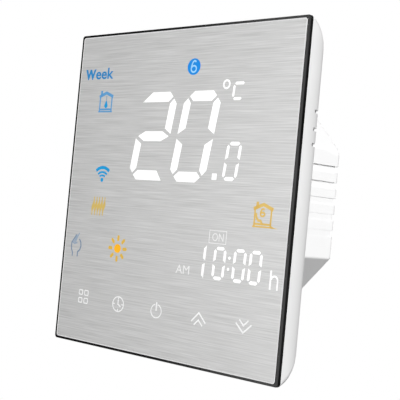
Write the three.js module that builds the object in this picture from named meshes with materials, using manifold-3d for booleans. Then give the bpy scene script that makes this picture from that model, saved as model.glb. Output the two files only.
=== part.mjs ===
// Wall thermostat: a flush square touch panel on a base for a 60 mm round flush box.
//
// Millimetres. The origin is the centre of the panel on the wall plane, +X to the right of a
// person who faces the wall, +Y into the wall and +Z up, so the front face looks along -Y.
// The front cover pulls off along -Y. The base is the mounting plate and the octagonal rear
// housing, with the power board, the relay and the two rising-cage terminal blocks inside.

import * as THREE from "three";
import { mergeVertices } from "three/addons/utils/BufferGeometryUtils.js";
import Module from "manifold-3d";

const wasm = await Module();
wasm.setup();

// ---- Driving dimensions ---------------------------------------------------------------

const PANEL = { half: 43, corner: 0.9, front: -8.15, back: -7.23 };
const OVERLAY = { halfX: 42.05, halfZ: 42.3, corner: 0.7, front: -8.3 };
const SHELL = { pocketHalf: 41.4, cavityHalf: 39.4, openingHalf: 36.2, lip: 1.6 };
// The rim rounds over from its sides to the wall, and its corners widen on the way.
const SHELL_ROUNDING = { inset: 3.6, depth: 6, edgeSteps: 8, cornerSteps: 5 };
const SHELL_CORNER = { atWall: 6.6, power: 0.8 };
const SHELL_VENTS = { heights: [21.2, 17, 13.4], width: 0.8, front: -3.6, step: 0.6 };
const SHELL_BOSS = { radius: 3, holeFloor: -1.9 };
const PRY_NOTCH = { half: 5, front: -1.3 };
const BOARD = { half: 41.1, front: -5.48, back: -4.28, screwAt: 37 };
const BOARD_SCREW = { headRadius: 2.2, headHeight: 1.2, shankRadius: 1.2, length: 3.2 };
const PLATE = { half: 35.5, corner: 3, thickness: 1.2, tabAt: 15, tabHalf: 4, tabReach: -3.9 };
const TAB_RIB = { offset: 3, half: 0.6, overlap: 0.5 };
const BOX_SCREWS = { radius: 30, slotWidth: 4.6, slotLength: 9 };

// The rear housing is centred a little above the panel's centre.
const HOUSING = { centreZ: 0.85, half: 25.5, cornerCut: 11.35, back: 28.3, wall: 2.4, rear: 2 };
const HOUSING_EDGE_CHAMFER = 1.6;
const FLANGE = { half: 27.4, corner: 3, front: -2.4 };
const FLANGE_SCREW = { at: 24, bossRadius: 3.1, bossFront: -3.9, bossFloor: -3.5 };
const FLANGE_SCREW_SHAPE = { headRadius: 2.4, headBack: -0.1, neck: -1.1, shankRadius: 1.2 };
const FLANGE_SCREW_TIP = -3.2;
// Five level grooves on each side, which get shallower downwards.
const GROOVES = { depths: [0.45, 0.35, 0.16, 0.08, 0.05], pitch: 4.2, height: 1.7, topEdge: 10.05 };
const GROOVE_MOUTH = { depth: 2.2, length: 1.8 }; // where each groove reaches the rear edge
const EDGE_NOTCHES = { places: [19.6, 21.1, 22.6, 24.1], half: 0.25, depth: 1.2, height: 0.8 };
const COOLING_SLOTS = { count: 6, pitch: 3.6, half: 0.8, halfLength: 6.5, centreZ: 0.6 };
const WIRE_WINDOWS = { span: [11.5, 16.5], mainHalf: 12.9, sensorHalf: 5.3 };
const BOARD_RIBS = { inner: 21.4, at: 9, half: 1.2, overlap: 0.5 };

const POWER_BOARD = { half: 22.8, cornerCut: 10, front: 8, back: 9.6 };
const INNER_COVER = { front: -0.9, back: 0.6, windowGap: 0.6, legX: 21, legZ: 9, legHalf: 1.5 };
const WAY_PITCH = 5.08;
const WAYS = { main: 5, sensor: 2 };

// The fit between pieces that only pass each other, and between a screw and its hole.
const GAP = 0.3;

// How far a cutting tool runs on past the face it cuts through.
const PAST = 1;
const TOUCH_KEYS = [-31.4, -16.3, -0.8, 15.1, 30.6];
const TOUCH_KEY_Z = -30.7;

// ---- Materials ------------------------------------------------------------------------

const finish = (color, roughness, metalness = 0) =>
  new THREE.MeshStandardMaterial({ color, roughness, metalness });

const WHITE_PLASTIC = finish(0xededea, 0.45);
const BLACK_GLOSS = finish(0x0c0c0e, 0.12);
const BRUSHED_METAL = finish(0xbcbcbc, 0.35, 0.9);
const ZINC_STEEL = finish(0xb9bdc0, 0.4, 0.9);
const BRASS = finish(0xc9a24a, 0.35, 0.95);
const CIRCUIT_BOARD = finish(0x1d6b3c, 0.5);
const BLACK_PLASTIC = finish(0x1b1b1c, 0.5);
const RELAY_BLUE = finish(0x2a5fb0, 0.4);
const FILM_YELLOW = finish(0xd9b52c, 0.45);
const CAN_SLEEVE = finish(0x1e2430, 0.4);
const CERAMIC_BLUE = finish(0x2f6fa8, 0.5);
const TERMINAL_GREEN = finish(0x2e8b57, 0.5);
const FUSE_GREY = finish(0x8c9296, 0.5);

// ---- Outlines: lists of points in two axes ----------------------------------------------

/** Points of an arc, both ends included. */
function arc(centreA, centreB, radius, fromDegrees, toDegrees, steps) {
  return Array.from({ length: steps + 1 }, (_, i) => {
    const degrees = fromDegrees + ((toDegrees - fromDegrees) * i) / steps;
    const angle = THREE.MathUtils.degToRad(degrees);
    return new THREE.Vector2(
      centreA + radius * Math.cos(angle),
      centreB + radius * Math.sin(angle),
    );
  });
}

const circle = (centreA, centreB, radius, sides = 12) =>
  arc(centreA, centreB, radius, 0, 360 - 360 / sides, sides - 1);

const rectangle = (lowA, highA, lowB, highB) => [
  new THREE.Vector2(lowA, lowB),
  new THREE.Vector2(highA, lowB),
  new THREE.Vector2(highA, highB),
  new THREE.Vector2(lowA, highB),
];

function roundedRectangle(halfA, halfB, radius, centreA = 0, centreB = 0, steps = 3) {
  const corner = (signA, signB, start) =>
    arc(
      centreA + signA * (halfA - radius),
      centreB + signB * (halfB - radius),
      radius,
      start,
      start + 90,
      steps,
    );
  return [...corner(1, 1, 0), ...corner(-1, 1, 90), ...corner(-1, -1, 180), ...corner(1, -1, 270)];
}

/** A square with its four corners cut off at 45 degrees. */
function octagon(half, cut) {
  const flat = half - cut;
  const quarter = [new THREE.Vector2(half, flat), new THREE.Vector2(flat, half)];
  const turned = (turns) =>
    quarter.map((p) => p.clone().rotateAround(new THREE.Vector2(), (turns * Math.PI) / 2));
  return [0, 1, 2, 3].flatMap(turned);
}

// ---- Solids -----------------------------------------------------------------------------

/**
 * An outline pushed along an axis from low to high. The outline's two axes are (y, z) for
 * axis x, (x, z) for axis y and (x, y) for axis z.
 */
function prism(outline, axis, low, high, holes = []) {
  const shape = new THREE.Shape(outline);
  shape.holes = holes.map((hole) => new THREE.Path(hole));
  const geometry = new THREE.ExtrudeGeometry(shape, { depth: 1, bevelEnabled: false });
  const depth = high - low;
  const place = {
    x: [0, 0, depth, low, 1, 0, 0, 0, 0, 1, 0, 0, 0, 0, 0, 1],
    y: [1, 0, 0, 0, 0, 0, -depth, high, 0, 1, 0, 0, 0, 0, 0, 1],
    z: [1, 0, 0, 0, 0, 1, 0, 0, 0, 0, depth, low, 0, 0, 0, 1],
  }[axis];
  return geometry.applyMatrix4(new THREE.Matrix4().set(...place));
}

/** A solid through outlines of equally many points, given as { outline, y } from front to back. */
function loft(rings) {
  const count = rings[0].outline.length;
  const last = (rings.length - 1) * count;
  const positions = rings.flatMap(({ outline, y }) => outline.flatMap((p) => [p.x, y, p.y]));
  const triangles = [];
  for (let start = 0; start < last; start += count) {
    for (let i = 0; i < count; i += 1) {
      const here = start + i;
      const next = start + ((i + 1) % count);
      triangles.push(here, next + count, next, here, here + count, next + count);
    }
  }
  for (let i = 1; i < count - 1; i += 1) {
    triangles.push(0, i, i + 1, last, last + i + 1, last + i);
  }
  const geometry = new THREE.BufferGeometry();
  geometry.setAttribute("position", new THREE.Float32BufferAttribute(positions, 3));
  geometry.setIndex(triangles);
  return geometry;
}

function box([lowX, highX], [lowY, highY], [lowZ, highZ]) {
  const geometry = new THREE.BoxGeometry(highX - lowX, highY - lowY, highZ - lowZ);
  return geometry.translate((lowX + highX) / 2, (lowY + highY) / 2, (lowZ + highZ) / 2);
}

/** A round bar along Y through (x, z). */
const rod = (x, z, radius, lowY, highY, sides = 12) =>
  prism(circle(x, z, radius, sides), "y", lowY, highY);

/** A solid turned about Y from a profile of [radius, y] pairs that starts and ends on Y. */
function turned(profile, sides = 12) {
  const points = profile.map(([radius, y]) => new THREE.Vector2(radius, y));
  return new THREE.LatheGeometry(points, sides);
}

/** A closed three.js geometry, or a solid already made, as a manifold solid. */
function solidOf(shape) {
  if (!(shape instanceof THREE.BufferGeometry)) return shape;
  const bare = shape.clone();
  bare.deleteAttribute("normal");
  bare.deleteAttribute("uv");
  const merged = mergeVertices(bare, 1e-4);
  const corners = merged.index.array;
  const triangles = [];
  for (let i = 0; i < corners.length; i += 3) {
    const [a, b, c] = corners.slice(i, i + 3);
    if (a !== b && b !== c && c !== a) triangles.push(a, b, c);
  }
  const mesh = new wasm.Mesh({
    numProp: 3,
    vertProperties: merged.attributes.position.array,
    triVerts: Uint32Array.from(triangles),
  });
  return new wasm.Manifold(mesh);
}

const join = (...shapes) => shapes.map(solidOf).reduce((whole, piece) => whole.add(piece));
const cut = (shape, ...tools) =>
  tools.map(solidOf).reduce((rest, tool) => rest.subtract(tool), solidOf(shape));
const common = (...shapes) =>
  shapes.map(solidOf).reduce((whole, piece) => whole.intersect(piece));

function geometryOf(shape) {
  if (shape instanceof THREE.BufferGeometry) return shape;
  const { vertProperties, triVerts } = shape.getMesh();
  const geometry = new THREE.BufferGeometry();
  geometry.setAttribute("position", new THREE.BufferAttribute(vertProperties, 3));
  geometry.setIndex(new THREE.BufferAttribute(triVerts, 1));
  geometry.computeVertexNormals();
  return geometry;
}

function piece(name, material, shape) {
  const mesh = new THREE.Mesh(geometryOf(shape), material);
  mesh.name = name;
  return mesh;
}

const inOrder = (a, b) => (a < b ? [a, b] : [b, a]);

/** The four points of a square pattern, as [x, z]. */
const fourCorners = (at) => [
  [at, at],
  [-at, at],
  [-at, -at],
  [at, -at],
];

// ---- Front cover ------------------------------------------------------------------------

/** The black glass carrier whose edge shows round the brushed face. */
function makePanelGlass() {
  const outline = roundedRectangle(PANEL.half, PANEL.half, PANEL.corner);
  return piece("panel_glass", BLACK_GLOSS, prism(outline, "y", PANEL.front, PANEL.back));
}

function makeBrushedOverlay() {
  const outline = roundedRectangle(OVERLAY.halfX, OVERLAY.halfZ, OVERLAY.corner);
  return piece("brushed_overlay", BRUSHED_METAL, prism(outline, "y", OVERLAY.front, PANEL.front));
}

/** The white rim behind the glass, whose sides round over like an ellipse to meet the wall. */
function makeFrontShell() {
  const half = PANEL.half;
  const { inset, depth, edgeSteps, cornerSteps } = SHELL_ROUNDING;
  const ring = (reach, y) => {
    const widening = (1 - y / PANEL.back) ** SHELL_CORNER.power;
    const corner = THREE.MathUtils.lerp(PANEL.corner, SHELL_CORNER.atWall, widening);
    return { outline: roundedRectangle(reach, reach, corner, 0, 0, cornerSteps), y };
  };
  const edge = arc(0, 0, 1, 0, 90, edgeSteps).map((p) =>
    ring(half + (p.x - 1) * inset, (p.y - 1) * depth),
  );
  const outer = loft([ring(half, PANEL.back), ...edge]);
  const hollow = (reach, radius, lowY, highY) =>
    prism(roundedRectangle(reach, reach, radius), "y", lowY, highY);
  const bosses = fourCorners(BOARD.screwAt).map(([x, z]) =>
    rod(x, z, SHELL_BOSS.radius, BOARD.back, -SHELL.lip),
  );
  const bossHoles = fourCorners(BOARD.screwAt).map(([x, z]) =>
    rod(x, z, BOARD_SCREW.shankRadius + GAP, BOARD.back - PAST, SHELL_BOSS.holeFloor),
  );
  // Ribs that the mounting plate's four spring tabs bear on.
  const ribs = [-1, 1].flatMap((side) =>
    [-1, 1].flatMap((end) =>
      [-1, 1].map((edge) => {
        const x = side * PLATE.tabAt + edge * TAB_RIB.offset;
        const spanZ = inOrder(end * (PLATE.half + GAP), end * (SHELL.cavityHalf + TAB_RIB.overlap));
        return box([x - TAB_RIB.half, x + TAB_RIB.half], [BOARD.back, -SHELL.lip], spanZ);
      }),
    ),
  );
  const vents = [-1, 1].flatMap((side) =>
    SHELL_VENTS.heights.flatMap((z) => {
      const spanZ = [z - SHELL_VENTS.width / 2, z + SHELL_VENTS.width / 2];
      const spanX = (near) => inOrder(side * near, side * (half + PAST));
      return [
        box(spanX(SHELL.cavityHalf - PAST), [SHELL_VENTS.front, -SHELL.lip], spanZ),
        box(spanX(SHELL.cavityHalf + SHELL_VENTS.step), [SHELL_VENTS.front, PAST], spanZ),
      ];
    }),
  );
  const pryNotch = box(
    [-PRY_NOTCH.half, PRY_NOTCH.half],
    [PRY_NOTCH.front, PAST],
    [-half - PAST, -SHELL.cavityHalf],
  );
  const rim = cut(
    outer,
    hollow(SHELL.pocketHalf, 1, PANEL.back - PAST, BOARD.back),
    hollow(SHELL.cavityHalf, 2, BOARD.back - PAST, -SHELL.lip),
    hollow(SHELL.openingHalf, 2, -SHELL.lip - PAST, PAST),
  );
  const shell = cut(join(rim, ...bosses, ...ribs), ...bossHoles, ...vents, pryNotch);
  return piece("front_shell", WHITE_PLASTIC, shell);
}

/** The frame between glass and board, with one light chamber behind each group of symbols. */
function makeLightMask() {
  const chambers = [
    rectangle(-40.3, -27.5, 29.8, 33.8), // week
    rectangle(-34, -26, 20.4, 27.8), // room temperature
    rectangle(2, 7.6, 29.8, 35), // weekday
    rectangle(-17.4, 16.4, 2.2, 26.8), // whole degrees
    rectangle(18.2, 25.2, 3.2, 13.8), // tenths
    rectangle(16.6, 24, 23, 29), // unit
    rectangle(-32, -25, 1.2, 6.4), // radio link
    rectangle(-32.6, -25, -8.2, -2.2), // heating
    rectangle(-40, -34.2, -19.8, -12.4), // manual
    rectangle(-23.2, -14.4, -20.2, -12), // comfort
    rectangle(30, 38.9, -7.4, -0.5), // home programme
    rectangle(4.8, 35.4, -21.2, -8.3), // clock
    rectangle(37, 40.3, -21.4, -16.2), // hours
  ];
  const springHoles = TOUCH_KEYS.map((x) => circle(x, TOUCH_KEY_Z, 3.2));
  const screwPockets = fourCorners(BOARD.screwAt).map(([x, z]) => circle(x, z, 2.8));
  const outline = roundedRectangle(BOARD.half, BOARD.half, 1);
  const holes = [...chambers, ...springHoles, ...screwPockets].map((hole) =>
    prism(hole, "y", PANEL.back - PAST, BOARD.front + PAST),
  );
  const shape = cut(prism(outline, "y", PANEL.back, BOARD.front), ...holes);
  return piece("light_mask", BLACK_PLASTIC, shape);
}

function makeDisplayBoard() {
  const outline = roundedRectangle(BOARD.half, BOARD.half, 1);
  const holes = fourCorners(BOARD.screwAt).map(([x, z]) =>
    circle(x, z, BOARD_SCREW.shankRadius + GAP),
  );
  const shape = prism(outline, "y", BOARD.front, BOARD.back, holes);
  return piece("display_board", CIRCUIT_BOARD, shape);
}

/** The radio module: a small board with a screening can on it. */
function makeWifiModule() {
  const module = join(
    box([-20, -4], [BOARD.back, BOARD.back + 0.8], [-11, 13]),
    box([-19, -5], [BOARD.back + 0.5, BOARD.back + 2.8], [-10, 6]),
  );
  return piece("wifi_module", ZINC_STEEL, module);
}

const makeControlChip = () =>
  piece(
    "control_chip",
    BLACK_PLASTIC,
    box([4, 11], [BOARD.back, BOARD.back + 1], [2, 9]),
  );

/** The cell that keeps the clock running while the cover is off. */
const makeClockCell = () =>
  piece("clock_cell", ZINC_STEEL, rod(11, -10, 6.25, BOARD.back, BOARD.back + 2, 20));

/** The air sensor, on two short legs beside the vents in the rim. */
function makeRoomSensor() {
  const bead = box([35.6, 37.4], [-2.9, -1.7], [16.6, 18.4]);
  const legs = [17, 18].map((z) => box([36.3, 36.7], [BOARD.back, -2.5], [z - 0.2, z + 0.2]));
  return piece("room_sensor", BLACK_PLASTIC, join(bead, ...legs));
}

const HEADER = { z: 17, halfX: 6.35, halfZ: 2.5, depth: 2.5, reach: 4 };
const HEADER_PINS = { columns: 5, pitch: 2.54, half: 0.32 };

/** The two-row pin header that plugs the cover into the power board. */
function makeDisplayHeader() {
  const block = box(
    [-HEADER.halfX, HEADER.halfX],
    [BOARD.back, BOARD.back + HEADER.depth],
    [HEADER.z - HEADER.halfZ, HEADER.z + HEADER.halfZ],
  );
  const { columns, pitch, half } = HEADER_PINS;
  const pins = [-0.5, 0.5].flatMap((row) =>
    Array.from({ length: columns }, (_, i) => {
      const x = (i - (columns - 1) / 2) * pitch;
      const z = HEADER.z + row * pitch;
      const spanY = [BOARD.back + HEADER.depth / 2, HEADER.reach];
      return box([x - half, x + half], spanY, [z - half, z + half]);
    }),
  );
  return piece("display_header", BLACK_PLASTIC, join(block, ...pins));
}

/** A flat coil between board and glass that carries the touch signal. */
function makeTouchSpring(number) {
  const wire = 0.22;
  const coil = { radius: 2.2, turns: 2, low: PANEL.back + 0.26, high: BOARD.front - 0.26 };
  class Helix extends THREE.Curve {
    getPoint(t, target = new THREE.Vector3()) {
      const angle = 2 * Math.PI * coil.turns * t;
      const y = THREE.MathUtils.lerp(coil.low, coil.high, t);
      return target.set(coil.radius * Math.cos(angle), y, coil.radius * Math.sin(angle));
    }
  }
  const section = new THREE.Shape(circle(0, 0, wire, 5));
  const shape = new THREE.ExtrudeGeometry(section, {
    extrudePath: new Helix(),
    steps: coil.turns * 11,
    bevelEnabled: false,
  });
  const mesh = piece(`touch_spring_${number}`, ZINC_STEEL, shape);
  mesh.position.set(TOUCH_KEYS[number - 1], 0, TOUCH_KEY_Z);
  return mesh;
}

// The cross recess of every screw; its reach is a share of the head's radius.
const CROSS = { half: 0.25, share: 0.55, depth: 0.6 };

/** A cross-head screw from its seat along Y, its head on the far side from its tip. */
function screwShape({ headRadius, headHeight, shankRadius, length, crossDepth = CROSS.depth }) {
  const profile = [
    [0, length],
    [shankRadius, length],
    [shankRadius, 0],
    [headRadius, 0],
    [headRadius, -headHeight],
    [0, -headHeight],
  ];
  const reach = headRadius * CROSS.share;
  const spanY = [-headHeight - PAST, -headHeight + crossDepth];
  return cut(
    turned(profile.reverse()),
    box([-reach, reach], spanY, [-CROSS.half, CROSS.half]),
    box([-CROSS.half, CROSS.half], spanY, [-reach, reach]),
  );
}

function makeBoardScrew([x, z], index) {
  const mesh = piece(`board_screw_${index + 1}`, ZINC_STEEL, screwShape(BOARD_SCREW));
  mesh.position.set(x, BOARD.front, z);
  return mesh;
}

const frontCover = new THREE.Group();
frontCover.add(
  makePanelGlass(),
  makeBrushedOverlay(),
  makeFrontShell(),
  makeLightMask(),
  makeDisplayBoard(),
  makeWifiModule(),
  makeControlChip(),
  makeClockCell(),
  makeRoomSensor(),
  makeDisplayHeader(),
  ...TOUCH_KEYS.map((_, i) => makeTouchSpring(i + 1)),
  ...fourCorners(BOARD.screwAt).map(makeBoardScrew),
);

// ---- Base: everything below is in the housing's own frame, centred on its octagon ---------

const panelCentreZ = -HOUSING.centreZ;

/** The pressed steel plate that the box screws hold to the wall. */
function makeMountingPlate() {
  const { half, thickness } = PLATE;
  const slotHalf = BOX_SCREWS.slotLength / 2;
  const slotRadius = BOX_SCREWS.slotWidth / 2;
  const slots = [-1, 1].flatMap((side) => {
    const at = side * BOX_SCREWS.radius;
    return [
      roundedRectangle(slotRadius, slotHalf, slotRadius, at, 0, 4),
      roundedRectangle(slotHalf, slotRadius, slotRadius, 0, at, 4),
    ];
  });
  const sheet = prism(
    roundedRectangle(half, half, PLATE.corner, 0, panelCentreZ),
    "y",
    -thickness,
    0,
    [octagon(HOUSING.half + GAP, HOUSING.cornerCut), ...slots],
  );
  const tabs = [-1, 1].flatMap((side) =>
    [-1, 1].map((end) => {
      const x = side * PLATE.tabAt;
      const outer = panelCentreZ + end * half;
      return box(
        [x - PLATE.tabHalf, x + PLATE.tabHalf],
        [PLATE.tabReach, -thickness / 2],
        inOrder(outer - end * thickness, outer),
      );
    }),
  );
  // Countersinks that open at the wall side.
  const { headRadius, neck, shankRadius } = FLANGE_SCREW_SHAPE;
  const countersinks = fourCorners(FLANGE_SCREW.at).map(([x, z]) =>
    turned([
      [0, -thickness - PAST],
      [shankRadius + GAP, -thickness - PAST],
      [shankRadius + GAP, neck],
      [headRadius + GAP, 0],
      [headRadius + GAP, PAST],
      [0, PAST],
    ]).translate(x, 0, z),
  );
  return piece("mounting_plate", ZINC_STEEL, cut(join(sheet, ...tabs), ...countersinks));
}

function makeFlangeScrew([x, z], index) {
  const { headRadius, headBack, neck, shankRadius } = FLANGE_SCREW_SHAPE;
  const profile = [
    [0, FLANGE_SCREW_TIP],
    [shankRadius, FLANGE_SCREW_TIP],
    [shankRadius, neck],
    [headRadius, headBack],
    [0, headBack],
  ];
  const reach = headRadius * CROSS.share;
  const spanY = [headBack - CROSS.depth, PAST];
  const cross = [
    box([-reach, reach], spanY, [-CROSS.half, CROSS.half]),
    box([-CROSS.half, CROSS.half], spanY, [-reach, reach]),
  ];
  const mesh = piece(`housing_screw_${index + 1}`, ZINC_STEEL, cut(turned(profile), ...cross));
  mesh.position.set(x, 0, z);
  return mesh;
}

// The terminals' own frame: one way at x = 0 with its wire entry on the -Z side.
const TERMINAL = {
  outer: -22.1, // the block's wire face, just inside the housing wall
  inner: -14.6,
  cavity: [-21.3, -15.7],
  top: 25.5,
  endWall: 0.2,
  shelf: [20.9, 21.6],
  entry: { halfX: 1.8, span: [12, 16] },
};
const CAGE = { halfX: 1.95, wall: 0.55, span: [11.4, 17.8], depth: [-21, -16] };
const CAGE_WINDOW = [12.2, 16.6];
const TONGUE = { halfX: 1.1, span: [15.3, 16.1], legDepth: [-15.6, -15.25], tipDepth: -20.6 };
const TERMINAL_SCREW = { headRadius: 2, headTop: 23.9, shankRadius: 1.25, tip: 16.4 };
const SCREW_SEAT_GAP = 0.05;
const wayCentreZ = (CAGE.depth[0] + CAGE.depth[1]) / 2;

/** The places of a block's ways along X. */
const wayPlaces = (count) =>
  Array.from({ length: count }, (_, i) => (i - (count - 1) / 2) * WAY_PITCH);

function makeTerminalBlock(name, count) {
  const { outer, inner, top, entry, shelf, cavity, endWall } = TERMINAL;
  const half = (count * WAY_PITCH) / 2 + endWall;
  const body = box([-half, half], [POWER_BOARD.back, top], [outer, inner]);
  const across = (x, reach) => [x - reach, x + reach];
  const legSlot = [cavity[1] - PAST / 2, TONGUE.legDepth[1] + GAP];
  const tools = wayPlaces(count).flatMap((x) => [
    box(across(x, CAGE.halfX + GAP), [CAGE.span[0] - GAP, shelf[0]], cavity),
    box(across(x, entry.halfX), entry.span, [outer - PAST, cavity[0] + PAST]),
    rod(x, wayCentreZ, TERMINAL_SCREW.shankRadius + GAP, shelf[0] - PAST, shelf[1] + PAST),
    rod(x, wayCentreZ, TERMINAL_SCREW.headRadius + GAP, shelf[1], top + PAST),
    // Slot for the contact tongue's leg, open to the board.
    box(across(x, TONGUE.halfX + GAP), [POWER_BOARD.back - PAST, TONGUE.span[1] + GAP], legSlot),
  ]);
  return piece(name, TERMINAL_GREEN, cut(body, ...tools));
}

/** The cage that the screw draws up towards its head to grip the wire under the tongue. */
function makeCage(name) {
  const { halfX, wall, span, depth } = CAGE;
  const threadFrom = CAGE_WINDOW[1] - PAST;
  const shape = cut(
    box([-halfX, halfX], span, depth),
    box([wall - halfX, halfX - wall], CAGE_WINDOW, [depth[0] - PAST, depth[1] + PAST]),
    rod(0, wayCentreZ, TERMINAL_SCREW.shankRadius + GAP, threadFrom, span[1] + PAST),
  );
  return piece(name, BRASS, shape);
}

function makeTerminalScrew(name) {
  const seat = TERMINAL.shelf[1] + SCREW_SEAT_GAP;
  const shape = screwShape({
    headRadius: TERMINAL_SCREW.headRadius,
    headHeight: TERMINAL_SCREW.headTop - seat,
    shankRadius: TERMINAL_SCREW.shankRadius,
    length: seat - TERMINAL_SCREW.tip,
    crossDepth: 1,
  });
  const mesh = piece(name, ZINC_STEEL, shape);
  mesh.rotation.x = Math.PI; // tip towards the board, head towards the rear
  mesh.position.set(0, seat, wayCentreZ);
  return mesh;
}

/** The fixed contact under the screw's tip, with a leg down to the board. */
function makeContactTongue(name) {
  const { halfX, span, legDepth, tipDepth } = TONGUE;
  const shape = join(
    box([-halfX, halfX], span, [tipDepth, legDepth[1]]),
    box([-halfX, halfX], [POWER_BOARD.back, span[1]], legDepth),
  );
  return piece(name, BRASS, shape);
}

/** A block with a screw, a cage and a tongue for each of its ways. */
function makeTerminal(label, count) {
  const group = new THREE.Group();
  group.add(makeTerminalBlock(`terminal_block_${label}`, count));
  wayPlaces(count).forEach((x, i) => {
    const way = new THREE.Group();
    way.position.x = x;
    way.add(
      makeTerminalScrew(`${label}_screw_${i + 1}`),
      makeCage(`${label}_cage_${i + 1}`),
      makeContactTongue(`${label}_tongue_${i + 1}`),
    );
    group.add(way);
  });
  return group;
}

/** The octagonal box behind the wall plane, with its flange, grooves and openings. */
function makeRearHousing() {
  const { half, back, wall, rear, cornerCut } = HOUSING;
  const cornerHalf = (2 * half - cornerCut) / Math.SQRT2;
  const bar = (reach, degrees) => {
    const c = HOUSING_EDGE_CHAMFER;
    const profile = [
      new THREE.Vector2(-reach, -PLATE.thickness),
      new THREE.Vector2(reach, -PLATE.thickness),
      new THREE.Vector2(reach, back - c),
      new THREE.Vector2(reach - c, back),
      new THREE.Vector2(c - reach, back),
      new THREE.Vector2(-reach, back - c),
    ];
    const length = 2 * half;
    return prism(profile, "z", -length, length).rotateY(THREE.MathUtils.degToRad(degrees));
  };
  const shellBody = common(bar(half, 0), bar(half, 90), bar(cornerHalf, 45), bar(cornerHalf, -45));
  const flange = prism(
    roundedRectangle(FLANGE.half, FLANGE.half, FLANGE.corner),
    "y",
    FLANGE.front,
    -PLATE.thickness,
  );
  const bosses = fourCorners(FLANGE_SCREW.at).map(([x, z]) =>
    rod(x, z, FLANGE_SCREW.bossRadius, FLANGE_SCREW.bossFront, -PLATE.thickness),
  );
  const bossHoles = fourCorners(FLANGE_SCREW.at).map(([x, z]) =>
    rod(x, z, FLANGE_SCREW_SHAPE.shankRadius + GAP, FLANGE_SCREW.bossFloor, PAST),
  );
  const innerHalf = half - wall;
  const innerCut = 2 * innerHalf - (cornerHalf - wall) * Math.SQRT2;
  const cavityFront = FLANGE_SCREW.bossFront - PAST;
  const cavity = prism(octagon(innerHalf, innerCut), "y", cavityFront, back - rear);
  const grooves = GROOVES.depths.map((grooveDepth, i) => {
    const top = GROOVES.topEdge - i * GROOVES.pitch;
    const spanZ = [top - GROOVES.height, top];
    return [-1, 1].flatMap((side) => {
      const spanX = (depth) => inOrder(side * (half - depth), side * (half + PAST));
      return [
        box(spanX(grooveDepth), [0, back + PAST], spanZ),
        box(spanX(GROOVE_MOUTH.depth), [back - GROOVE_MOUTH.length, back + PAST], spanZ),
      ];
    });
  }).flat();
  // Small notches in the rear edge of the upper corner cuts.
  const notch = EDGE_NOTCHES;
  const edgeNotches = [-1, 1].flatMap((side) =>
    notch.places.map((place) => {
      const x = side * place;
      const z = cornerHalf * Math.SQRT2 - place;
      const spanY = [back - notch.depth, back + PAST];
      return box([x - notch.half, x + notch.half], spanY, [z - notch.height, z + PAST]);
    }),
  );
  const screwHoles = [
    ...wayPlaces(WAYS.main).map((x) => [x, wayCentreZ]),
    ...wayPlaces(WAYS.sensor).map((x) => [x, -wayCentreZ]),
  ].map(([x, z]) =>
    rod(x, z, TERMINAL_SCREW.headRadius + GAP, back - rear - PAST, back + PAST),
  );
  const { span, mainHalf, sensorHalf } = WIRE_WINDOWS;
  const wireWindows = [
    box([-mainHalf, mainHalf], span, [-half - PAST, PAST - innerHalf]),
    box([-sensorHalf, sensorHalf], span, [innerHalf - PAST, half + PAST]),
  ];
  const slot = COOLING_SLOTS;
  const coolingSlots = Array.from({ length: slot.count }, (_, i) => {
    const x = (i - (slot.count - 1) / 2) * slot.pitch;
    const outline = roundedRectangle(slot.half, slot.halfLength, slot.half, x, slot.centreZ, 2);
    return prism(outline, "y", back - rear - PAST, back + PAST);
  });
  // Side ribs that the power board rests on.
  const ribs = [-1, 1].flatMap((side) =>
    [-1, 1].map((end) => {
      const { inner, at, half: ribHalf, overlap } = BOARD_RIBS;
      const spanX = inOrder(side * inner, side * (innerHalf + overlap));
      const spanY = [POWER_BOARD.back, back - rear + overlap];
      return box(spanX, spanY, [end * at - ribHalf, end * at + ribHalf]);
    }),
  );
  const shell = cut(join(shellBody, flange, ...bosses), cavity);
  return piece(
    "rear_housing",
    WHITE_PLASTIC,
    cut(
      join(shell, ...ribs),
      ...grooves,
      ...edgeNotches,
      ...bossHoles,
      ...screwHoles,
      ...wireWindows,
      ...coolingSlots,
    ),
  );
}

/** The inner cover that closes the housing, with a window for the header and four legs. */
function makeInnerCover() {
  const { front, back, windowGap, legX, legZ, legHalf } = INNER_COVER;
  const windowHalfX = HEADER.halfX + windowGap;
  const windowHalfZ = HEADER.halfZ + windowGap;
  const windowZ = HEADER.z + panelCentreZ;
  const window = rectangle(-windowHalfX, windowHalfX, windowZ - windowHalfZ, windowZ + windowHalfZ);
  const outline = octagon(POWER_BOARD.half, POWER_BOARD.cornerCut);
  const sheet = prism(outline, "y", front, back, [window]);
  const legs = [-1, 1].flatMap((side) =>
    [-1, 1].map((end) => {
      const x = side * legX;
      const z = end * legZ;
      const spanY = [(front + back) / 2, POWER_BOARD.front];
      return box([x - legHalf, x + legHalf], spanY, [z - legHalf, z + legHalf]);
    }),
  );
  return piece("inner_cover", WHITE_PLASTIC, join(sheet, ...legs));
}

const makePowerBoard = () =>
  piece(
    "power_board",
    CIRCUIT_BOARD,
    prism(
      octagon(POWER_BOARD.half, POWER_BOARD.cornerCut),
      "y",
      POWER_BOARD.front,
      POWER_BOARD.back,
    ),
  );

const SOCKET = { front: -0.4, wall: 0.45 };

/** The socket on the power board that the cover's header plugs into. */
function makeHeaderSocket() {
  const { halfX, halfZ, reach } = HEADER;
  const { front, wall } = SOCKET;
  const z = HEADER.z + panelCentreZ;
  const slotZ = [z + wall - halfZ, z + halfZ - wall];
  const shape = cut(
    box([-halfX, halfX], [front, POWER_BOARD.front], [z - halfZ, z + halfZ]),
    box([wall - halfX, halfX - wall], [front - PAST, reach + PAST], slotZ),
  );
  return piece("header_socket", BLACK_PLASTIC, shape);
}

/** The depths of a component of the given height that stands on the power board. */
const onBoard = (height) => [POWER_BOARD.back, POWER_BOARD.back + height];

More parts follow.
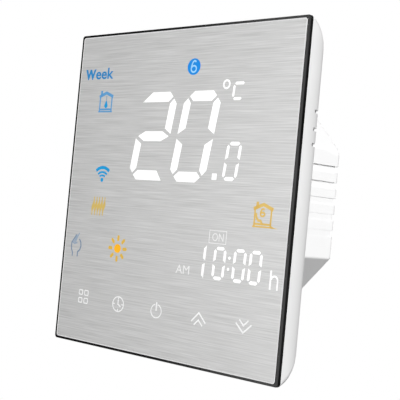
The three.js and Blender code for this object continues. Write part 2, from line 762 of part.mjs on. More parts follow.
const makeRelay = () =>
  piece("relay", RELAY_BLUE, box([-19.5, -4], onBoard(15.7), [-10.5, 8.5]));

/** The supply transformer: a wound bobbin in a ferrite core. */
function makeTransformer() {
  const baseHeight = 3;
  const windings = [POWER_BOARD.back + baseHeight, POWER_BOARD.back + 10.5];
  const shape = join(
    box([-1.5, 13.5], onBoard(baseHeight), [-13, 2]),
    box([2.5, 9.5], onBoard(13), [-13, 2]),
    box([-1, 13], windings, [-10.5, -0.5]),
  );
  return piece("transformer", FILM_YELLOW, shape);
}

const makeFilmCapacitor = () =>
  piece("film_capacitor", FILM_YELLOW, box([-19.5, -6.5], onBoard(11), [9.4, 14.4]));

const makeCan = (name, x, z, radius, height) =>
  piece(name, CAN_SLEEVE, rod(x, z, radius, ...onBoard(height), 16));

/** A disc on edge on two legs. */
function makeVaristor() {
  const disc = { radius: 4, height: 6, z: 7.5, spanX: [15.6, 18.6] };
  const disk = prism(circle(0, 0, disc.radius, 14), "x", ...disc.spanX);
  const legs = [5, 9].map((z) => box([16.6, 17.6], onBoard(disc.radius), [z, z + 1]));
  disk.translate(0, POWER_BOARD.back + disc.height, disc.z);
  return piece("varistor", CERAMIC_BLUE, join(disk, ...legs));
}

/** A round fuse that lies on the power board. */
function makeFuse() {
  const radius = 2.2;
  const outline = circle(17.5, POWER_BOARD.back + radius, radius, 12);
  return piece("fuse", FUSE_GREY, prism(outline, "z", -12, -2));
}

const base = new THREE.Group();
base.position.z = HOUSING.centreZ;
const sensorTerminal = makeTerminal("sensor", WAYS.sensor);
sensorTerminal.rotation.y = Math.PI; // its wires enter from above

base.add(
  makeMountingPlate(),
  ...fourCorners(FLANGE_SCREW.at).map(makeFlangeScrew),
  makeRearHousing(),
  makeInnerCover(),
  makePowerBoard(),
  makeHeaderSocket(),
  makeRelay(),
  makeTransformer(),
  makeFilmCapacitor(),
  makeCan("supply_capacitor_1", 3.5, 8, 4, 12),
  makeCan("supply_capacitor_2", 11.4, 7, 3.1, 11),
  makeVaristor(),
  makeFuse(),
  makeTerminal("main", WAYS.main),
  sensorTerminal,
);

const thermostat = new THREE.Group();
thermostat.add(frontCover, base);

export default thermostat;
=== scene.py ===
"""Wall thermostat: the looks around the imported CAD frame, in metres in the row frame."""

import math
from itertools import product

import bmesh
import bpy
from mathutils import Matrix, Quaternion, Vector


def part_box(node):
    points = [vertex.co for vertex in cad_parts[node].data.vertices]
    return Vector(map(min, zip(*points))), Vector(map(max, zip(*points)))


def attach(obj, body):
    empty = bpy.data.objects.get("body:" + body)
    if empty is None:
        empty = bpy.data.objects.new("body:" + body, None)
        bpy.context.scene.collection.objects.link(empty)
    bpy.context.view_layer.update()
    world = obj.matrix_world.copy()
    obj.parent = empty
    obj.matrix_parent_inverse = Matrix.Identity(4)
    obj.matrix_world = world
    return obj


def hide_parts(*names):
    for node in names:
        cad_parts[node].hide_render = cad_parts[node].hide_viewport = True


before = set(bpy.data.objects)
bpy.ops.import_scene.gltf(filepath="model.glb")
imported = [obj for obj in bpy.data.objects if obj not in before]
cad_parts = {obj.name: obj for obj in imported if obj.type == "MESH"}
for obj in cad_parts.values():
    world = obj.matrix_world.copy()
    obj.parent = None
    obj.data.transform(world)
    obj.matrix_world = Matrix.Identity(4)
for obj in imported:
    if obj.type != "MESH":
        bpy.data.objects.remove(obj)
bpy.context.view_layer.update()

MM = 0.001  # one millimetre: the sizes below are in millimetres, as the drawing of the part is

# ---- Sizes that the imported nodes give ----


def node_box(node):
    """A CAD node's lowest and highest corners, in millimetres."""
    low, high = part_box(node)
    return low / MM, high / MM


def node_axis(node):
    """The (x, z) of the line along Y through a CAD node's middle, in millimetres."""
    low, high = node_box(node)
    return (low.x + high.x) / 2, (low.z + high.z) / 2


glass_low, glass_high = node_box("panel_glass")
overlay_low, overlay_high = node_box("brushed_overlay")
plate_high = node_box("mounting_plate")[1]
housing_low, housing_high = node_box("rear_housing")
board_high = node_box("display_board")[1]

PANEL_HALF = glass_high.x
FACE_Y = overlay_low.y
GLASS_BACK_Y = glass_high.y
HOUSING_Z = (housing_low.z + housing_high.z) / 2
PAST = 1  # how far a cutting tool runs on past the face it cuts through
SUNK = 0.2  # how far a rib or boss is sunk into the wall it stands on

# ---- Materials ----


class Finish:
    """A Principled material whose detail comes from texture nodes in the piece's own frame."""

    def __init__(self, name, **sockets):
        self.material = bpy.data.materials.new(name)
        self.material.use_nodes = True
        self.tree = self.material.node_tree
        self.shader = self.tree.nodes["Principled BSDF"]
        self.place = self.node("TexCoord").outputs["Object"]
        for socket, value in sockets.items():
            self.shader.inputs[socket.replace("_", " ")].default_value = value

    def node(self, kind):
        return self.tree.nodes.new("ShaderNode" + kind)

    def link(self, source, socket):
        self.tree.links.new(source, socket)

    def noise(self, scale, detail=4.0, roughness=0.55, stretch=(1, 1, 1)):
        """Noise with about `scale` features per metre, stretched by scaling the coordinates."""
        mapping = self.node("Mapping")
        mapping.inputs["Scale"].default_value = stretch
        self.link(self.place, mapping.inputs["Vector"])
        noise = self.node("TexNoise")
        noise.inputs["Scale"].default_value = scale
        noise.inputs["Detail"].default_value = detail
        noise.inputs["Roughness"].default_value = roughness
        self.link(mapping.outputs["Vector"], noise.inputs["Vector"])
        return noise.outputs["Fac"]

    def bands(self, axis, scale):
        """Straight bands across an axis, from 0 to 1 and back."""
        wave = self.node("TexWave")
        wave.bands_direction = axis
        wave.inputs["Scale"].default_value = scale
        self.link(self.place, wave.inputs["Vector"])
        return wave.outputs["Fac"]

    def ramp(self, value, *stops):
        """A colour ramp through (position, grey or colour) stops."""
        ramp = self.node("ValToRGB")
        elements = ramp.color_ramp.elements
        while len(elements) < len(stops):
            elements.new(0.5)
        for element, (position, colour) in zip(elements, stops):
            rgb = (colour,) * 3 if isinstance(colour, (int, float)) else colour
            element.position = position
            element.color = (*rgb, 1)
        self.link(value, ramp.inputs["Fac"])
        return ramp.outputs["Color"]

    def mix(self, factor, first, second, blend="MIX"):
        """Two colours or colour outputs mixed by a number or a value output."""
        mix = self.node("Mix")
        mix.data_type = "RGBA"
        mix.blend_type = blend
        for socket, value in (
            (mix.inputs["Factor"], factor),
            (mix.inputs[6], first),
            (mix.inputs[7], second),
        ):
            if isinstance(value, bpy.types.NodeSocket):
                self.link(value, socket)
            elif isinstance(value, (int, float)):
                socket.default_value = value
            else:
                socket.default_value = (*value, 1)
        return mix.outputs[2]

    def colour(self, source, socket="Base Color"):
        self.link(source, self.shader.inputs[socket])
        return self

    def rough(self, value, low, high):
        """Roughness that runs from low to high with a value output."""
        remap = self.node("MapRange")
        remap.inputs["To Min"].default_value = low
        remap.inputs["To Max"].default_value = high
        self.link(value, remap.inputs["Value"])
        self.link(remap.outputs["Result"], self.shader.inputs["Roughness"])
        return self

    def bump(self, value, height_mm, strength=1.0):
        bump = self.node("Bump")
        bump.inputs["Distance"].default_value = height_mm * MM
        bump.inputs["Strength"].default_value = strength
        self.link(value, bump.inputs["Height"])
        normal = self.shader.inputs["Normal"]
        if normal.links:
            self.link(normal.links[0].from_socket, bump.inputs["Normal"])
        self.link(bump.outputs["Normal"], normal)
        return self


def moulded_plastic(name, dark, light, grain_mm, roughness, grain_height=0.006):
    """Injection-moulded plastic: faint cloudiness and a fine spark-eroded grain."""
    finish = Finish(name, IOR=1.5, Specular_IOR_Level=0.45)
    cloud = finish.noise(60, detail=2)
    grain = finish.noise(1 / (grain_mm * MM), detail=2)
    finish.colour(finish.ramp(cloud, (0.35, dark), (0.65, light)))
    finish.rough(grain, roughness - 0.06, roughness + 0.06)
    finish.bump(grain, grain_height)
    return finish.material


def plated_metal(name, dark, light, roughness, lines=(1, 1, 1)):
    """Plated or drawn metal: blotchy colour, and fine lines along one axis if asked."""
    finish = Finish(name, Metallic=1.0)
    blotch = finish.noise(350, detail=5)
    fine = finish.noise(2500, detail=3, stretch=lines)
    colour = finish.mix(0.5, finish.ramp(blotch, (0.3, dark), (0.7, light)),
                        finish.ramp(fine, (0.3, dark), (0.7, light)))
    finish.colour(colour)
    finish.rough(fine, roughness - 0.08, roughness + 0.1)
    finish.bump(fine, 0.004)
    return finish.material


def brushed_film():
    """Silver film with level brush lines of several lengths."""
    finish = Finish("brushed_film", Metallic=0.7, IOR=1.5, Anisotropic=0.5)
    broad = finish.noise(1, detail=2, stretch=(18, 1, 1200))
    lines = finish.noise(1, detail=3, roughness=0.55, stretch=(60, 1, 3600))
    hair = finish.noise(1, detail=2, stretch=(140, 1, 8000))
    base = finish.ramp(lines, (0.3, (0.45, 0.45, 0.445)), (0.7, (0.73, 0.73, 0.725)))
    base = finish.mix(0.25, base, finish.ramp(broad, (0.35, 0.54), (0.65, 0.66)))
    base = finish.mix(0.2, base, finish.ramp(hair, (0.3, 0.46), (0.7, 0.74)))
    finish.colour(base)
    finish.rough(lines, 0.34, 0.46)
    finish.bump(lines, 0.004)
    finish.bump(hair, 0.002)
    return finish.material


def black_glass():
    finish = Finish("black_glass", IOR=1.5, Specular_IOR_Level=0.32)
    smear = finish.noise(90, detail=4)
    streaks = finish.noise(1, detail=3, stretch=(500, 1100, 45))
    finish.colour(finish.ramp(streaks, (0.42, 0.001), (0.66, 0.012)))
    finish.rough(smear, 0.10, 0.20)
    finish.bump(streaks, 0.006)
    return finish.material


def lit_symbol(name, colour, strength=0.85, base_share=0.4):
    """A symbol lit from behind, a little uneven as a light chamber makes it; the film edge's
    painted highlight is made with it too.
    """
    base = tuple(c * base_share for c in colour)
    finish = Finish(name, Roughness=0.5, Specular_IOR_Level=0.2, Base_Color=(*base, 1),
                    Emission_Strength=strength)
    spread = finish.noise(420, detail=1)
    dim = tuple(c * 0.93 for c in colour)
    finish.colour(finish.ramp(spread, (0.3, dim), (0.65, colour)), "Emission Color")
    return finish.material


def printed_legend():
    finish = Finish("printed_legend", IOR=1.5, Emission_Strength=0.1, Emission_Color=(1, 1, 1, 1))
    ink = finish.noise(2600, detail=3)
    finish.colour(finish.ramp(ink, (0.3, 0.80), (0.6, 0.93)))
    finish.rough(ink, 0.4, 0.55)
    return finish.material


def solder_mask():
    """Green circuit board: bundles of parallel tracks that run up or across in square fields."""
    finish = Finish("solder_mask", IOR=1.5, Coat_Weight=0.3, Coat_Roughness=0.15)
    weave = finish.noise(1800, detail=2)
    mask = finish.ramp(weave, (0.3, (0.008, 0.10, 0.035)), (0.7, (0.012, 0.13, 0.045)))
    fields = finish.node("TexVoronoi")
    fields.distance = "CHEBYCHEV"
    fields.inputs["Scale"].default_value = 130
    finish.link(finish.place, fields.inputs["Vector"])
    shares = finish.node("SeparateColor")
    finish.link(fields.outputs["Color"], shares.inputs["Color"])
    upright, level = (finish.bands(axis, 430) for axis in "XZ")
    which = finish.ramp(shares.outputs["Red"], (0.49, 0.0), (0.51, 1.0))
    used = finish.ramp(shares.outputs["Green"], (0.39, 0.0), (0.41, 1.0))
    tracks = finish.ramp(finish.mix(which, upright, level), (0.66, 0.0), (0.74, 1.0))
    tracks = finish.mix(1.0, tracks, used, "MULTIPLY")
    finish.colour(finish.mix(tracks, mask, (0.035, 0.26, 0.085)))
    finish.rough(weave, 0.28, 0.42)
    finish.bump(tracks, 0.02, 0.5)
    return finish.material


WHITE_SHELL = moulded_plastic("white_shell_plastic", 0.755, 0.785, 0.12, 0.42)
WHITE_HOUSING = moulded_plastic("white_housing_plastic", 0.89, 0.92, 0.16, 0.46)
BLACK_PART = moulded_plastic("black_plastic", 0.014, 0.022, 0.1, 0.42)
TERMINAL_GREEN = moulded_plastic(
    "green_terminal_plastic", (0.02, 0.19, 0.075), (0.03, 0.25, 0.10), 0.1, 0.4
)
RELAY_BLUE = moulded_plastic(
    "blue_relay_plastic", (0.014, 0.07, 0.30), (0.02, 0.09, 0.38), 0.1, 0.36
)
YELLOW_FILM = moulded_plastic("yellow_film", (0.55, 0.38, 0.02), (0.65, 0.46, 0.04), 0.15, 0.32)
BLUE_EPOXY = moulded_plastic("blue_epoxy", (0.02, 0.12, 0.32), (0.03, 0.17, 0.42), 0.3, 0.4, 0.02)
FUSE_GREY = moulded_plastic("fuse_grey", 0.18, 0.24, 0.1, 0.4)
CAN_SLEEVE = moulded_plastic(
    "capacitor_sleeve", (0.012, 0.016, 0.04), (0.02, 0.026, 0.06), 0.2, 0.3
)
ZINC = plated_metal("zinc_plate", (0.50, 0.52, 0.55), (0.66, 0.68, 0.71), 0.34, (1, 1, 0.05))
BRIGHT_STEEL = plated_metal("bright_steel", 0.55, 0.70, 0.26)
TIN = plated_metal("tin_plate", 0.60, 0.74, 0.22, (1, 1, 0.1))
BRASS = plated_metal("brass", (0.58, 0.40, 0.13), (0.72, 0.52, 0.20), 0.28)
BOARD_GREEN = solder_mask()
FILM = brushed_film()
GLASS = black_glass()
LIT_WHITE = lit_symbol("lit_white", (1.0, 1.0, 1.0), 0.6, 0.6)
LIT_WHITE_THIN = lit_symbol("lit_white_thin", (1.0, 1.0, 1.0), 0.33, 0.6)
LIT_BLUE = lit_symbol("lit_blue", (0.002, 0.22, 0.66))
LIT_BLUE_TEXT = lit_symbol("lit_blue_text", (0.02, 0.20, 0.46))
LIT_BLUE_LINE = lit_symbol("lit_blue_line", (0.10, 0.29, 0.53))
LIT_LINK_BLUE = lit_symbol("lit_link_blue", (0.004, 0.27, 0.57))
LIT_STEEL_BLUE = lit_symbol("lit_steel_blue", (0.16, 0.225, 0.32))
LIT_PALE_STEEL_BLUE = lit_symbol("lit_pale_steel_blue", (0.26, 0.33, 0.42))
LIT_PALE_BLUE = lit_symbol("lit_pale_blue", (0.31, 0.59, 0.84))
LIT_ORANGE = lit_symbol("lit_orange", (0.86, 0.41, 0.01))
LIT_ORANGE_RAY = lit_symbol("lit_orange_ray", (0.62, 0.395, 0.06))
LIT_AMBER = lit_symbol("lit_amber", (0.63, 0.435, 0.125))
LIT_PALE_AMBER = lit_symbol("lit_pale_amber", (0.54, 0.39, 0.11))
LEGEND = printed_legend()
LEGEND_BRIGHT = lit_symbol("lit_legend", (1.0, 1.0, 1.0), 0.32, 0.75)
# The film edge's painted highlight: a faintly glowing pale line that stands in for light caught by
# the film's cut edge.
FILM_EDGE_PAINTED_HIGHLIGHT = lit_symbol("film_edge_painted_highlight", (0.8, 0.8, 0.8), 0.1, 1.0)

# ---- Mesh helpers ----


def add_to_scene(name, data):
    item = bpy.data.objects.new(name, data)
    bpy.context.scene.collection.objects.link(item)
    return item


def coat(mesh, material):
    mesh.materials.clear()
    mesh.materials.append(material)


def shade(mesh, smooth=True):
    for polygon in mesh.polygons:
        polygon.use_smooth = smooth


def add_object(name, mesh, material, smooth=True):
    coat(mesh, material)
    shade(mesh, smooth)
    return add_to_scene(name, mesh)


def finish_mesh(bm, name):
    """A bmesh in millimetres becomes a mesh in metres with its faces turned outwards."""
    bmesh.ops.recalc_face_normals(bm, faces=bm.faces)
    bmesh.ops.scale(bm, vec=(MM, MM, MM), verts=bm.verts)
    mesh = bpy.data.meshes.new(name)
    bm.to_mesh(mesh)
    bm.free()
    return mesh


def add_prism(bm, outline, front, back):
    """A closed prism of an (x, z) outline between two depths along Y."""
    near = [bm.verts.new((x, front, z)) for x, z in outline]
    far = [bm.verts.new((x, back, z)) for x, z in outline]
    bm.faces.new(near)
    bm.faces.new(list(reversed(far)))
    for i in range(len(outline)):
        j = (i + 1) % len(outline)
        bm.faces.new((near[i], far[i], far[j], near[j]))


def add_box(bm, x, y, z):
    """A box between (low, high) pairs along each axis."""
    add_prism(bm, [(x[0], z[0]), (x[1], z[0]), (x[1], z[1]), (x[0], z[1])], y[0], y[1])


def loft(bm, rings, closed=False):
    """Joins rings of equally many points, capping the ends unless the rings close on themselves."""
    rows = [[bm.verts.new(point) for point in ring] for ring in rings]
    count = len(rows[0])
    pairs = list(zip(rows, rows[1:])) + ([(rows[-1], rows[0])] if closed else [])
    for one, two in pairs:
        for i in range(count):
            j = (i + 1) % count
            bm.faces.new((one[i], one[j], two[j], two[i]))
    if not closed:
        bm.faces.new(list(reversed(rows[0])))
        bm.faces.new(rows[-1])


def arc(centre, radius, start, end, steps):
    """Points of an arc from start to end degrees, both ends included."""
    angles = [math.radians(start + (end - start) * i / steps) for i in range(steps + 1)]
    return [(centre[0] + radius * math.cos(a), centre[1] + radius * math.sin(a)) for a in angles]


def ellipse(x, z, half_x, half_z, start=0, end=360, steps=36):
    points = arc((0, 0), 1, start, end, steps)
    if end - start == 360:
        points.pop()
    return [(x + half_x * u, z + half_z * w) for u, w in points]


def rounded(corners, radius, steps=6):
    """A convex outline with its corners turned into arcs, of one radius or of one each."""
    radii = radius if isinstance(radius, list) else [radius] * len(corners)
    outline = []
    for i, (corner, radius) in enumerate(zip(corners, radii)):
        here = Vector(corner)
        back = (Vector(corners[i - 1]) - here).normalized()
        ahead = (Vector(corners[(i + 1) % len(corners)]) - here).normalized()
        half_angle = back.angle(ahead) / 2
        centre = here + (back + ahead).normalized() * radius / math.sin(half_angle)
        first = here + back * radius / math.tan(half_angle)
        last = here + ahead * radius / math.tan(half_angle)
        swing = (first - centre).angle_signed(last - centre)
        for k in range(steps + 1):
            turn = Matrix.Rotation(-swing * k / steps, 2)
            outline.append(tuple(centre + turn @ (first - centre)))
    return outline


def square(half_x, half_z, x=0.0, z=0.0):
    left, right, low, high = x - half_x, x + half_x, z - half_z, z + half_z
    return [(right, high), (left, high), (left, low), (right, low)]


def four_corners(at, z=0.0):
    """The four (x, z) points of a square pattern round (0, z)."""
    return [(x, z + rise) for x, rise in product((-at, at), repeat=2)]


def about(middle, half):
    """The span from a half below the middle to a half above it."""
    return (middle - half, middle + half)


def octagon(half, cut, z=0.0):
    flat = half - cut
    return [
        (half, z + flat), (flat, z + half), (-flat, z + half), (-half, z + flat),
        (-half, z - flat), (-flat, z - half), (flat, z - half), (half, z - flat),
    ]


def add_turned(bm, profile, x, z, sides=32):
    """A solid turned about the line through (x, z) along Y, from (radius, y) points, ends on it."""
    rings = [[(x + r * c, y, z + r * s) for c, s in arc((0, 0), 1, 0, 360 - 360 / sides, sides - 1)]
             for r, y in profile if r > 1e-6]
    loft(bm, rings)


def boolean(piece, tool_bm, operation):
    """Cuts a piece with a bmesh in millimetres, or joins the two, and keeps the result."""
    tool = add_to_scene("tool", finish_mesh(tool_bm, "tool"))
    modifier = piece.modifiers.new("boolean", "BOOLEAN")
    modifier.operation = operation
    modifier.solver = "EXACT"
    modifier.use_self = True
    modifier.object = tool
    graph = bpy.context.evaluated_depsgraph_get()
    made = bpy.data.meshes.new_from_object(piece.evaluated_get(graph))
    piece.modifiers.clear()
    old, piece.data = piece.data, made
    bpy.data.meshes.remove(old)
    bpy.data.objects.remove(tool)
    shade(made)


def round_edges(piece, width_mm, segments=2, angle=32):
    """Small rounded edges wherever two faces meet at more than an angle."""
    bevel = piece.modifiers.new("round_edges", "BEVEL")
    bevel.width = width_mm * MM
    bevel.segments = segments
    bevel.limit_method = "ANGLE"
    bevel.angle_limit = math.radians(angle)
    bevel.harden_normals = True
    bevel.miter_outer = "MITER_ARC"
    weighted = piece.modifiers.new("even_shading", "WEIGHTED_NORMAL")
    weighted.keep_sharp = True


def place(piece, body, slot=None, replaces=()):
    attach(piece, body)
    if replaces:
        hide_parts(*replaces)
    return piece


def dress(node, material, edge_mm=0.12, segments=2):
    """Gives a CAD node its material and softened edges."""
    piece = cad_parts[node]
    coat(piece.data, material)
    shade(piece.data)
    flat = piece.modifiers.new("one_face_per_plane", "DECIMATE")
    flat.decimate_type = "DISSOLVE"
    flat.angle_limit = math.radians(1)
    round_edges(piece, edge_mm, segments)


# ---- Camera, light and floor ----

CAMERA_PLACE = Vector((214.06, -199.28, -7.66)) * MM
CAMERA_YAW, CAMERA_PITCH, CAMERA_ROLL = 46.65, 1.29, 5.30  # degrees
CAMERA_LENS = 100.6


def make_camera():
    camera = add_to_scene("camera", bpy.data.cameras.new("camera"))
    camera.data.lens = CAMERA_LENS
    camera.data.sensor_width = 36
    camera.data.clip_start = 0.01
    camera.location = CAMERA_PLACE
    camera.rotation_mode = "QUATERNION"
    turn = Quaternion((0, 0, 1), math.radians(CAMERA_YAW))
    tilt = Quaternion((1, 0, 0), math.radians(90 + CAMERA_PITCH))
    roll = Quaternion((0, 0, 1), math.radians(CAMERA_ROLL))
    camera.rotation_quaternion = turn @ tilt @ roll
    bpy.context.scene.camera = camera


def soft_light(name, place, size, radiance):
    """A round lamp that faces the part, given by how bright its face is."""
    light = bpy.data.lights.new(name, "AREA")
    light.shape = "DISK"
    light.size = size
    light.energy = radiance * math.pi * math.pi * size * size / 4
    lamp = add_to_scene(name, light)
    lamp.location = place
    lamp.visible_camera = False
    lamp.rotation_mode = "QUATERNION"
    lamp.rotation_quaternion = (-Vector(place)).to_track_quat("-Z", "Y")


WORLD_LIGHT = 0.08
FLOOR_Z = -1.5
FLOOR_RADIUS = 2.3


def make_stage():
    """A pale round floor well below the part, a white surround and soft lights."""
    bm = bmesh.new()
    bmesh.ops.create_circle(bm, cap_ends=True, segments=96, radius=FLOOR_RADIUS)
    mesh = bpy.data.meshes.new("floor")
    bm.to_mesh(mesh)
    bm.free()
    floor_finish = Finish("pale_floor", Roughness=0.8)
    floor_finish.colour(floor_finish.ramp(floor_finish.noise(6), (0.3, 0.62), (0.7, 0.66)))
    floor = add_object("floor", mesh, floor_finish.material)
    floor.location.z = FLOOR_Z

    world = bpy.data.worlds.new("surround")
    bpy.context.scene.world = world
    world.use_nodes = True
    tree = world.node_tree
    lighting = tree.nodes["Background"]
    lighting.inputs["Color"].default_value = (1, 1, 1, 1)
    lighting.inputs["Strength"].default_value = WORLD_LIGHT
    backdrop = tree.nodes.new("ShaderNodeBackground")
    backdrop.inputs["Color"].default_value = (1, 1, 1, 1)
    path = tree.nodes.new("ShaderNodeLightPath")
    mix = tree.nodes.new("ShaderNodeMixShader")
    tree.links.new(path.outputs["Is Camera Ray"], mix.inputs["Fac"])
    tree.links.new(lighting.outputs["Background"], mix.inputs[1])
    tree.links.new(backdrop.outputs["Background"], mix.inputs[2])
    tree.links.new(mix.outputs["Shader"], tree.nodes["World Output"].inputs["Surface"])

    soft_light("key_right", (1.31, -0.36, 0.78), 1.0, 12.65)
    soft_light("face_left", (-0.55, -1.75, 0.06), 2.1, 1.9)
    soft_light("rear_fill", (-1.2, 0.85, 0.5), 1.0, 5.0)
    bpy.context.scene.view_settings.view_transform = "Standard"


# ---- Front cover: glass, film and rim ----

PANEL_CORNER = 0.9


def make_glass():
    bm = bmesh.new()
    outline = rounded(square(PANEL_HALF, PANEL_HALF), PANEL_CORNER, 8)
    add_prism(bm, outline, glass_low.y, glass_high.y)
    piece = add_object("glass_carrier", finish_mesh(bm, "glass_carrier"), GLASS)
    round_edges(piece, 0.1, 3, 60)
    place(piece, "front_cover", "glass_black", ["panel_glass"])


SYMBOL_PROUD = 0.015  # how far the symbols stand out of the brushed film
FILM_FRONT_Y = FACE_Y + SYMBOL_PROUD
FILM_CORNER = 0.7
FILM_EDGE_HIGHLIGHT_WIDTH = 0.24  # width of the painted highlight at the film's cut edge: a bright line that stands in for the light the edge catches


def make_film():
    bm = bmesh.new()
    outline = rounded(square(overlay_high.x, overlay_high.z), FILM_CORNER, 8)
    add_prism(bm, outline, FILM_FRONT_Y, overlay_high.y)
    piece = add_object("brushed_face", finish_mesh(bm, "brushed_face"), FILM)
    round_edges(piece, 0.11, 2, 60)
    place(piece, "front_cover", "brushed_face", ["brushed_overlay"])

    # A painted highlight round the film: a glowing strip where its cut edge catches the light.
    bm = bmesh.new()
    line = square(overlay_high.x - FILM_EDGE_HIGHLIGHT_WIDTH / 2, overlay_high.z - FILM_EDGE_HIGHLIGHT_WIDTH / 2)
    outline = rounded(line, FILM_CORNER - FILM_EDGE_HIGHLIGHT_WIDTH / 2, 8)
    add_stroke(bm, outline, FILM_EDGE_HIGHLIGHT_WIDTH, closed=True)
    symbol("brushed_face_painted_edge_highlight", FILM_EDGE_PAINTED_HIGHLIGHT, bm)


SHELL_TURN_IN, SHELL_TURN_DEEP = 3.6, 6.0  # the rim rounds over like an ellipse
SHELL_CORNER_AT_WALL, SHELL_CORNER_POWER = 6.6, 0.8  # and its corners widen to the wall
SHELL_FRONT_BEVEL = 0.18
SHELL_LIP = 1.6
SHELL_CAVITY_HALF = 39.4
SHELL_POCKET = PANEL_HALF - 41.4
SHELL_CAVITY = PANEL_HALF - SHELL_CAVITY_HALF
SHELL_OPENING, OPENING_BEVEL = PANEL_HALF - 36.2, 0.15
POCKET_CORNER, CAVITY_CORNER = 1.0, 2.0
BOSS_AT, BOSS_RADIUS, BOSS_HOLE_RADIUS, BOSS_HOLE_FLOOR = 37, 3, 1.5, -1.9
TAB_AT, TAB_HALF, TAB_FRONT = 15, 4, -3.9  # the steel plate's four spring tabs
RIB_OFFSET, RIB_HALF, RIB_SPAN = 3, 0.6, (35.8, 39.8)  # the ribs that they bear on
VENT_HEIGHTS, VENT_HALF, VENT_FRONT, VENT_STEP = (21.2, 17.0, 13.4), 0.4, -3.6, 0.6
PRY_NOTCH_HALF, PRY_NOTCH_FRONT = 5, -1.3


def shell_section():
    """The rim's section as (distance in from the outer side, y, corner radius) points.

    It runs from the front outer edge round the rounded back, over the lip at the wall and
    back along the inside.
    """
    front = GLASS_BACK_Y
    bevel = SHELL_FRONT_BEVEL
    turn = [(SHELL_TURN_IN * (1 + u), SHELL_TURN_DEEP * (v - 1))
            for u, v in arc((0, 0), 1, 180, 90, 20)]
    outside = [*arc((bevel, front + bevel), bevel, 270, 180, 3), *turn]
    inside = [
        (SHELL_OPENING - OPENING_BEVEL, 0),
        (SHELL_OPENING, -OPENING_BEVEL),
        (SHELL_OPENING, -SHELL_LIP),
        (SHELL_CAVITY, -SHELL_LIP),
        (SHELL_CAVITY, board_high.y),
        (SHELL_POCKET, board_high.y),
        (SHELL_POCKET, front),
    ]

    def corner(y):
        widening = max(1 - y / front, 0) ** SHELL_CORNER_POWER
        return PANEL_CORNER + (SHELL_CORNER_AT_WALL - PANEL_CORNER) * widening

    return ([(inset, y, corner(y)) for inset, y in outside]
            + [(inset, y, CAVITY_CORNER if inset > SHELL_POCKET else POCKET_CORNER)
               for inset, y in inside])


def make_shell():
    rings = []
    for inset, y, corner in shell_section():
        half = PANEL_HALF - inset
        outline = rounded(square(half, half), corner, 8)
        rings.append([(x, y, z) for x, z in outline])
    bm = bmesh.new()
    loft(bm, rings, closed=True)
    piece = add_object("cover_rim", finish_mesh(bm, "cover_rim"), WHITE_SHELL)

    added = bmesh.new()
    span_y = (board_high.y, SUNK - SHELL_LIP)
    for x, z in four_corners(BOSS_AT):
        add_turned(added, [(BOSS_RADIUS, y) for y in span_y], x, z)
    for side, end, edge in product((-1, 1), repeat=3):
        x = side * TAB_AT + edge * RIB_OFFSET
        add_box(added, about(x, RIB_HALF), span_y, sorted(end * reach for reach in RIB_SPAN))
    boolean(piece, added, "UNION")

    cuts = bmesh.new()
    for x, z in four_corners(BOSS_AT):
        span_y = (board_high.y - PAST, BOSS_HOLE_FLOOR)
        add_turned(cuts, [(BOSS_HOLE_RADIUS, y) for y in span_y], x, z, 24)
    outer = PANEL_HALF + PAST
    for z, side in product(VENT_HEIGHTS, (-1, 1)):
        for inner, span_y in (
            (SHELL_CAVITY_HALF - PAST, (VENT_FRONT, -SHELL_LIP)),
            (SHELL_CAVITY_HALF + VENT_STEP, (VENT_FRONT + 0.01, PAST)),
        ):
            add_box(cuts, sorted((side * inner, side * outer)), span_y, about(z, VENT_HALF))
    span_x = about(0, PRY_NOTCH_HALF)
    add_box(cuts, span_x, (PRY_NOTCH_FRONT, PAST), (-outer, -SHELL_CAVITY_HALF))
    boolean(piece, cuts, "DIFFERENCE")
    round_edges(piece, 0.08, 2, 40)
    place(piece, "front_cover", "shell_plastic", ["front_shell"])


# ---- Display symbols ----

SYMBOL_BACK_Y = FILM_FRONT_Y + 0.02  # every symbol is sunk a little way into the film


def add_outline(bm, outline, lift=1.0):
    """A filled outline in the face, lifted by a share of the symbols' full proudness."""
    add_prism(bm, outline, FILM_FRONT_Y - SYMBOL_PROUD * lift, SYMBOL_BACK_Y)


def add_stroke(bm, points, width, closed=False):
    """A line of constant width through the points, mitred at its corners."""
    points = [Vector(p) for p in points]
    count = len(points)
    left, right = [], []
    for i, here in enumerate(points):
        ways = []
        if i or closed:
            ways.append((here - points[i - 1]).normalized())
        if i < count - 1 or closed:
            ways.append((points[(i + 1) % count] - here).normalized())
        along = (ways[0] + ways[-1]).normalized()
        across = Vector((-along.y, along.x))
        last = Vector((-ways[-1].y, ways[-1].x))
        reach = width / 2 / max(across.dot(last), 0.4)
        left.append(here + across * reach)
        right.append(here - across * reach)
    edges = (left, FACE_Y), (right, FACE_Y), (right, SYMBOL_BACK_Y), (left, SYMBOL_BACK_Y)
    rows = [[bm.verts.new((p.x, y, p.y)) for p in side] for side, y in edges]
    for i in range(count if closed else count - 1):
        j = (i + 1) % count
        for k in range(4):
            one, two = rows[k], rows[(k + 1) % 4]
            bm.faces.new((one[i], one[j], two[j], two[i]))
    if not closed:
        bm.faces.new([row[0] for row in rows])
        bm.faces.new([row[-1] for row in reversed(rows)])


def rod(start, end, width):
    """The outline of a straight bar with round ends between two points."""
    way = end - start
    turn = math.degrees(math.atan2(way.y, way.x))
    half = width / 2
    inner = start + way.normalized() * half
    outer = end - way.normalized() * half
    return arc(outer, half, turn - 90, turn + 90, 8) + arc(inner, half, turn + 90, turn + 270, 8)


def symbol(name, material, bm):
    piece = add_object(name, finish_mesh(bm, name), material, smooth=False)
    place(piece, "front_cover")
    return piece


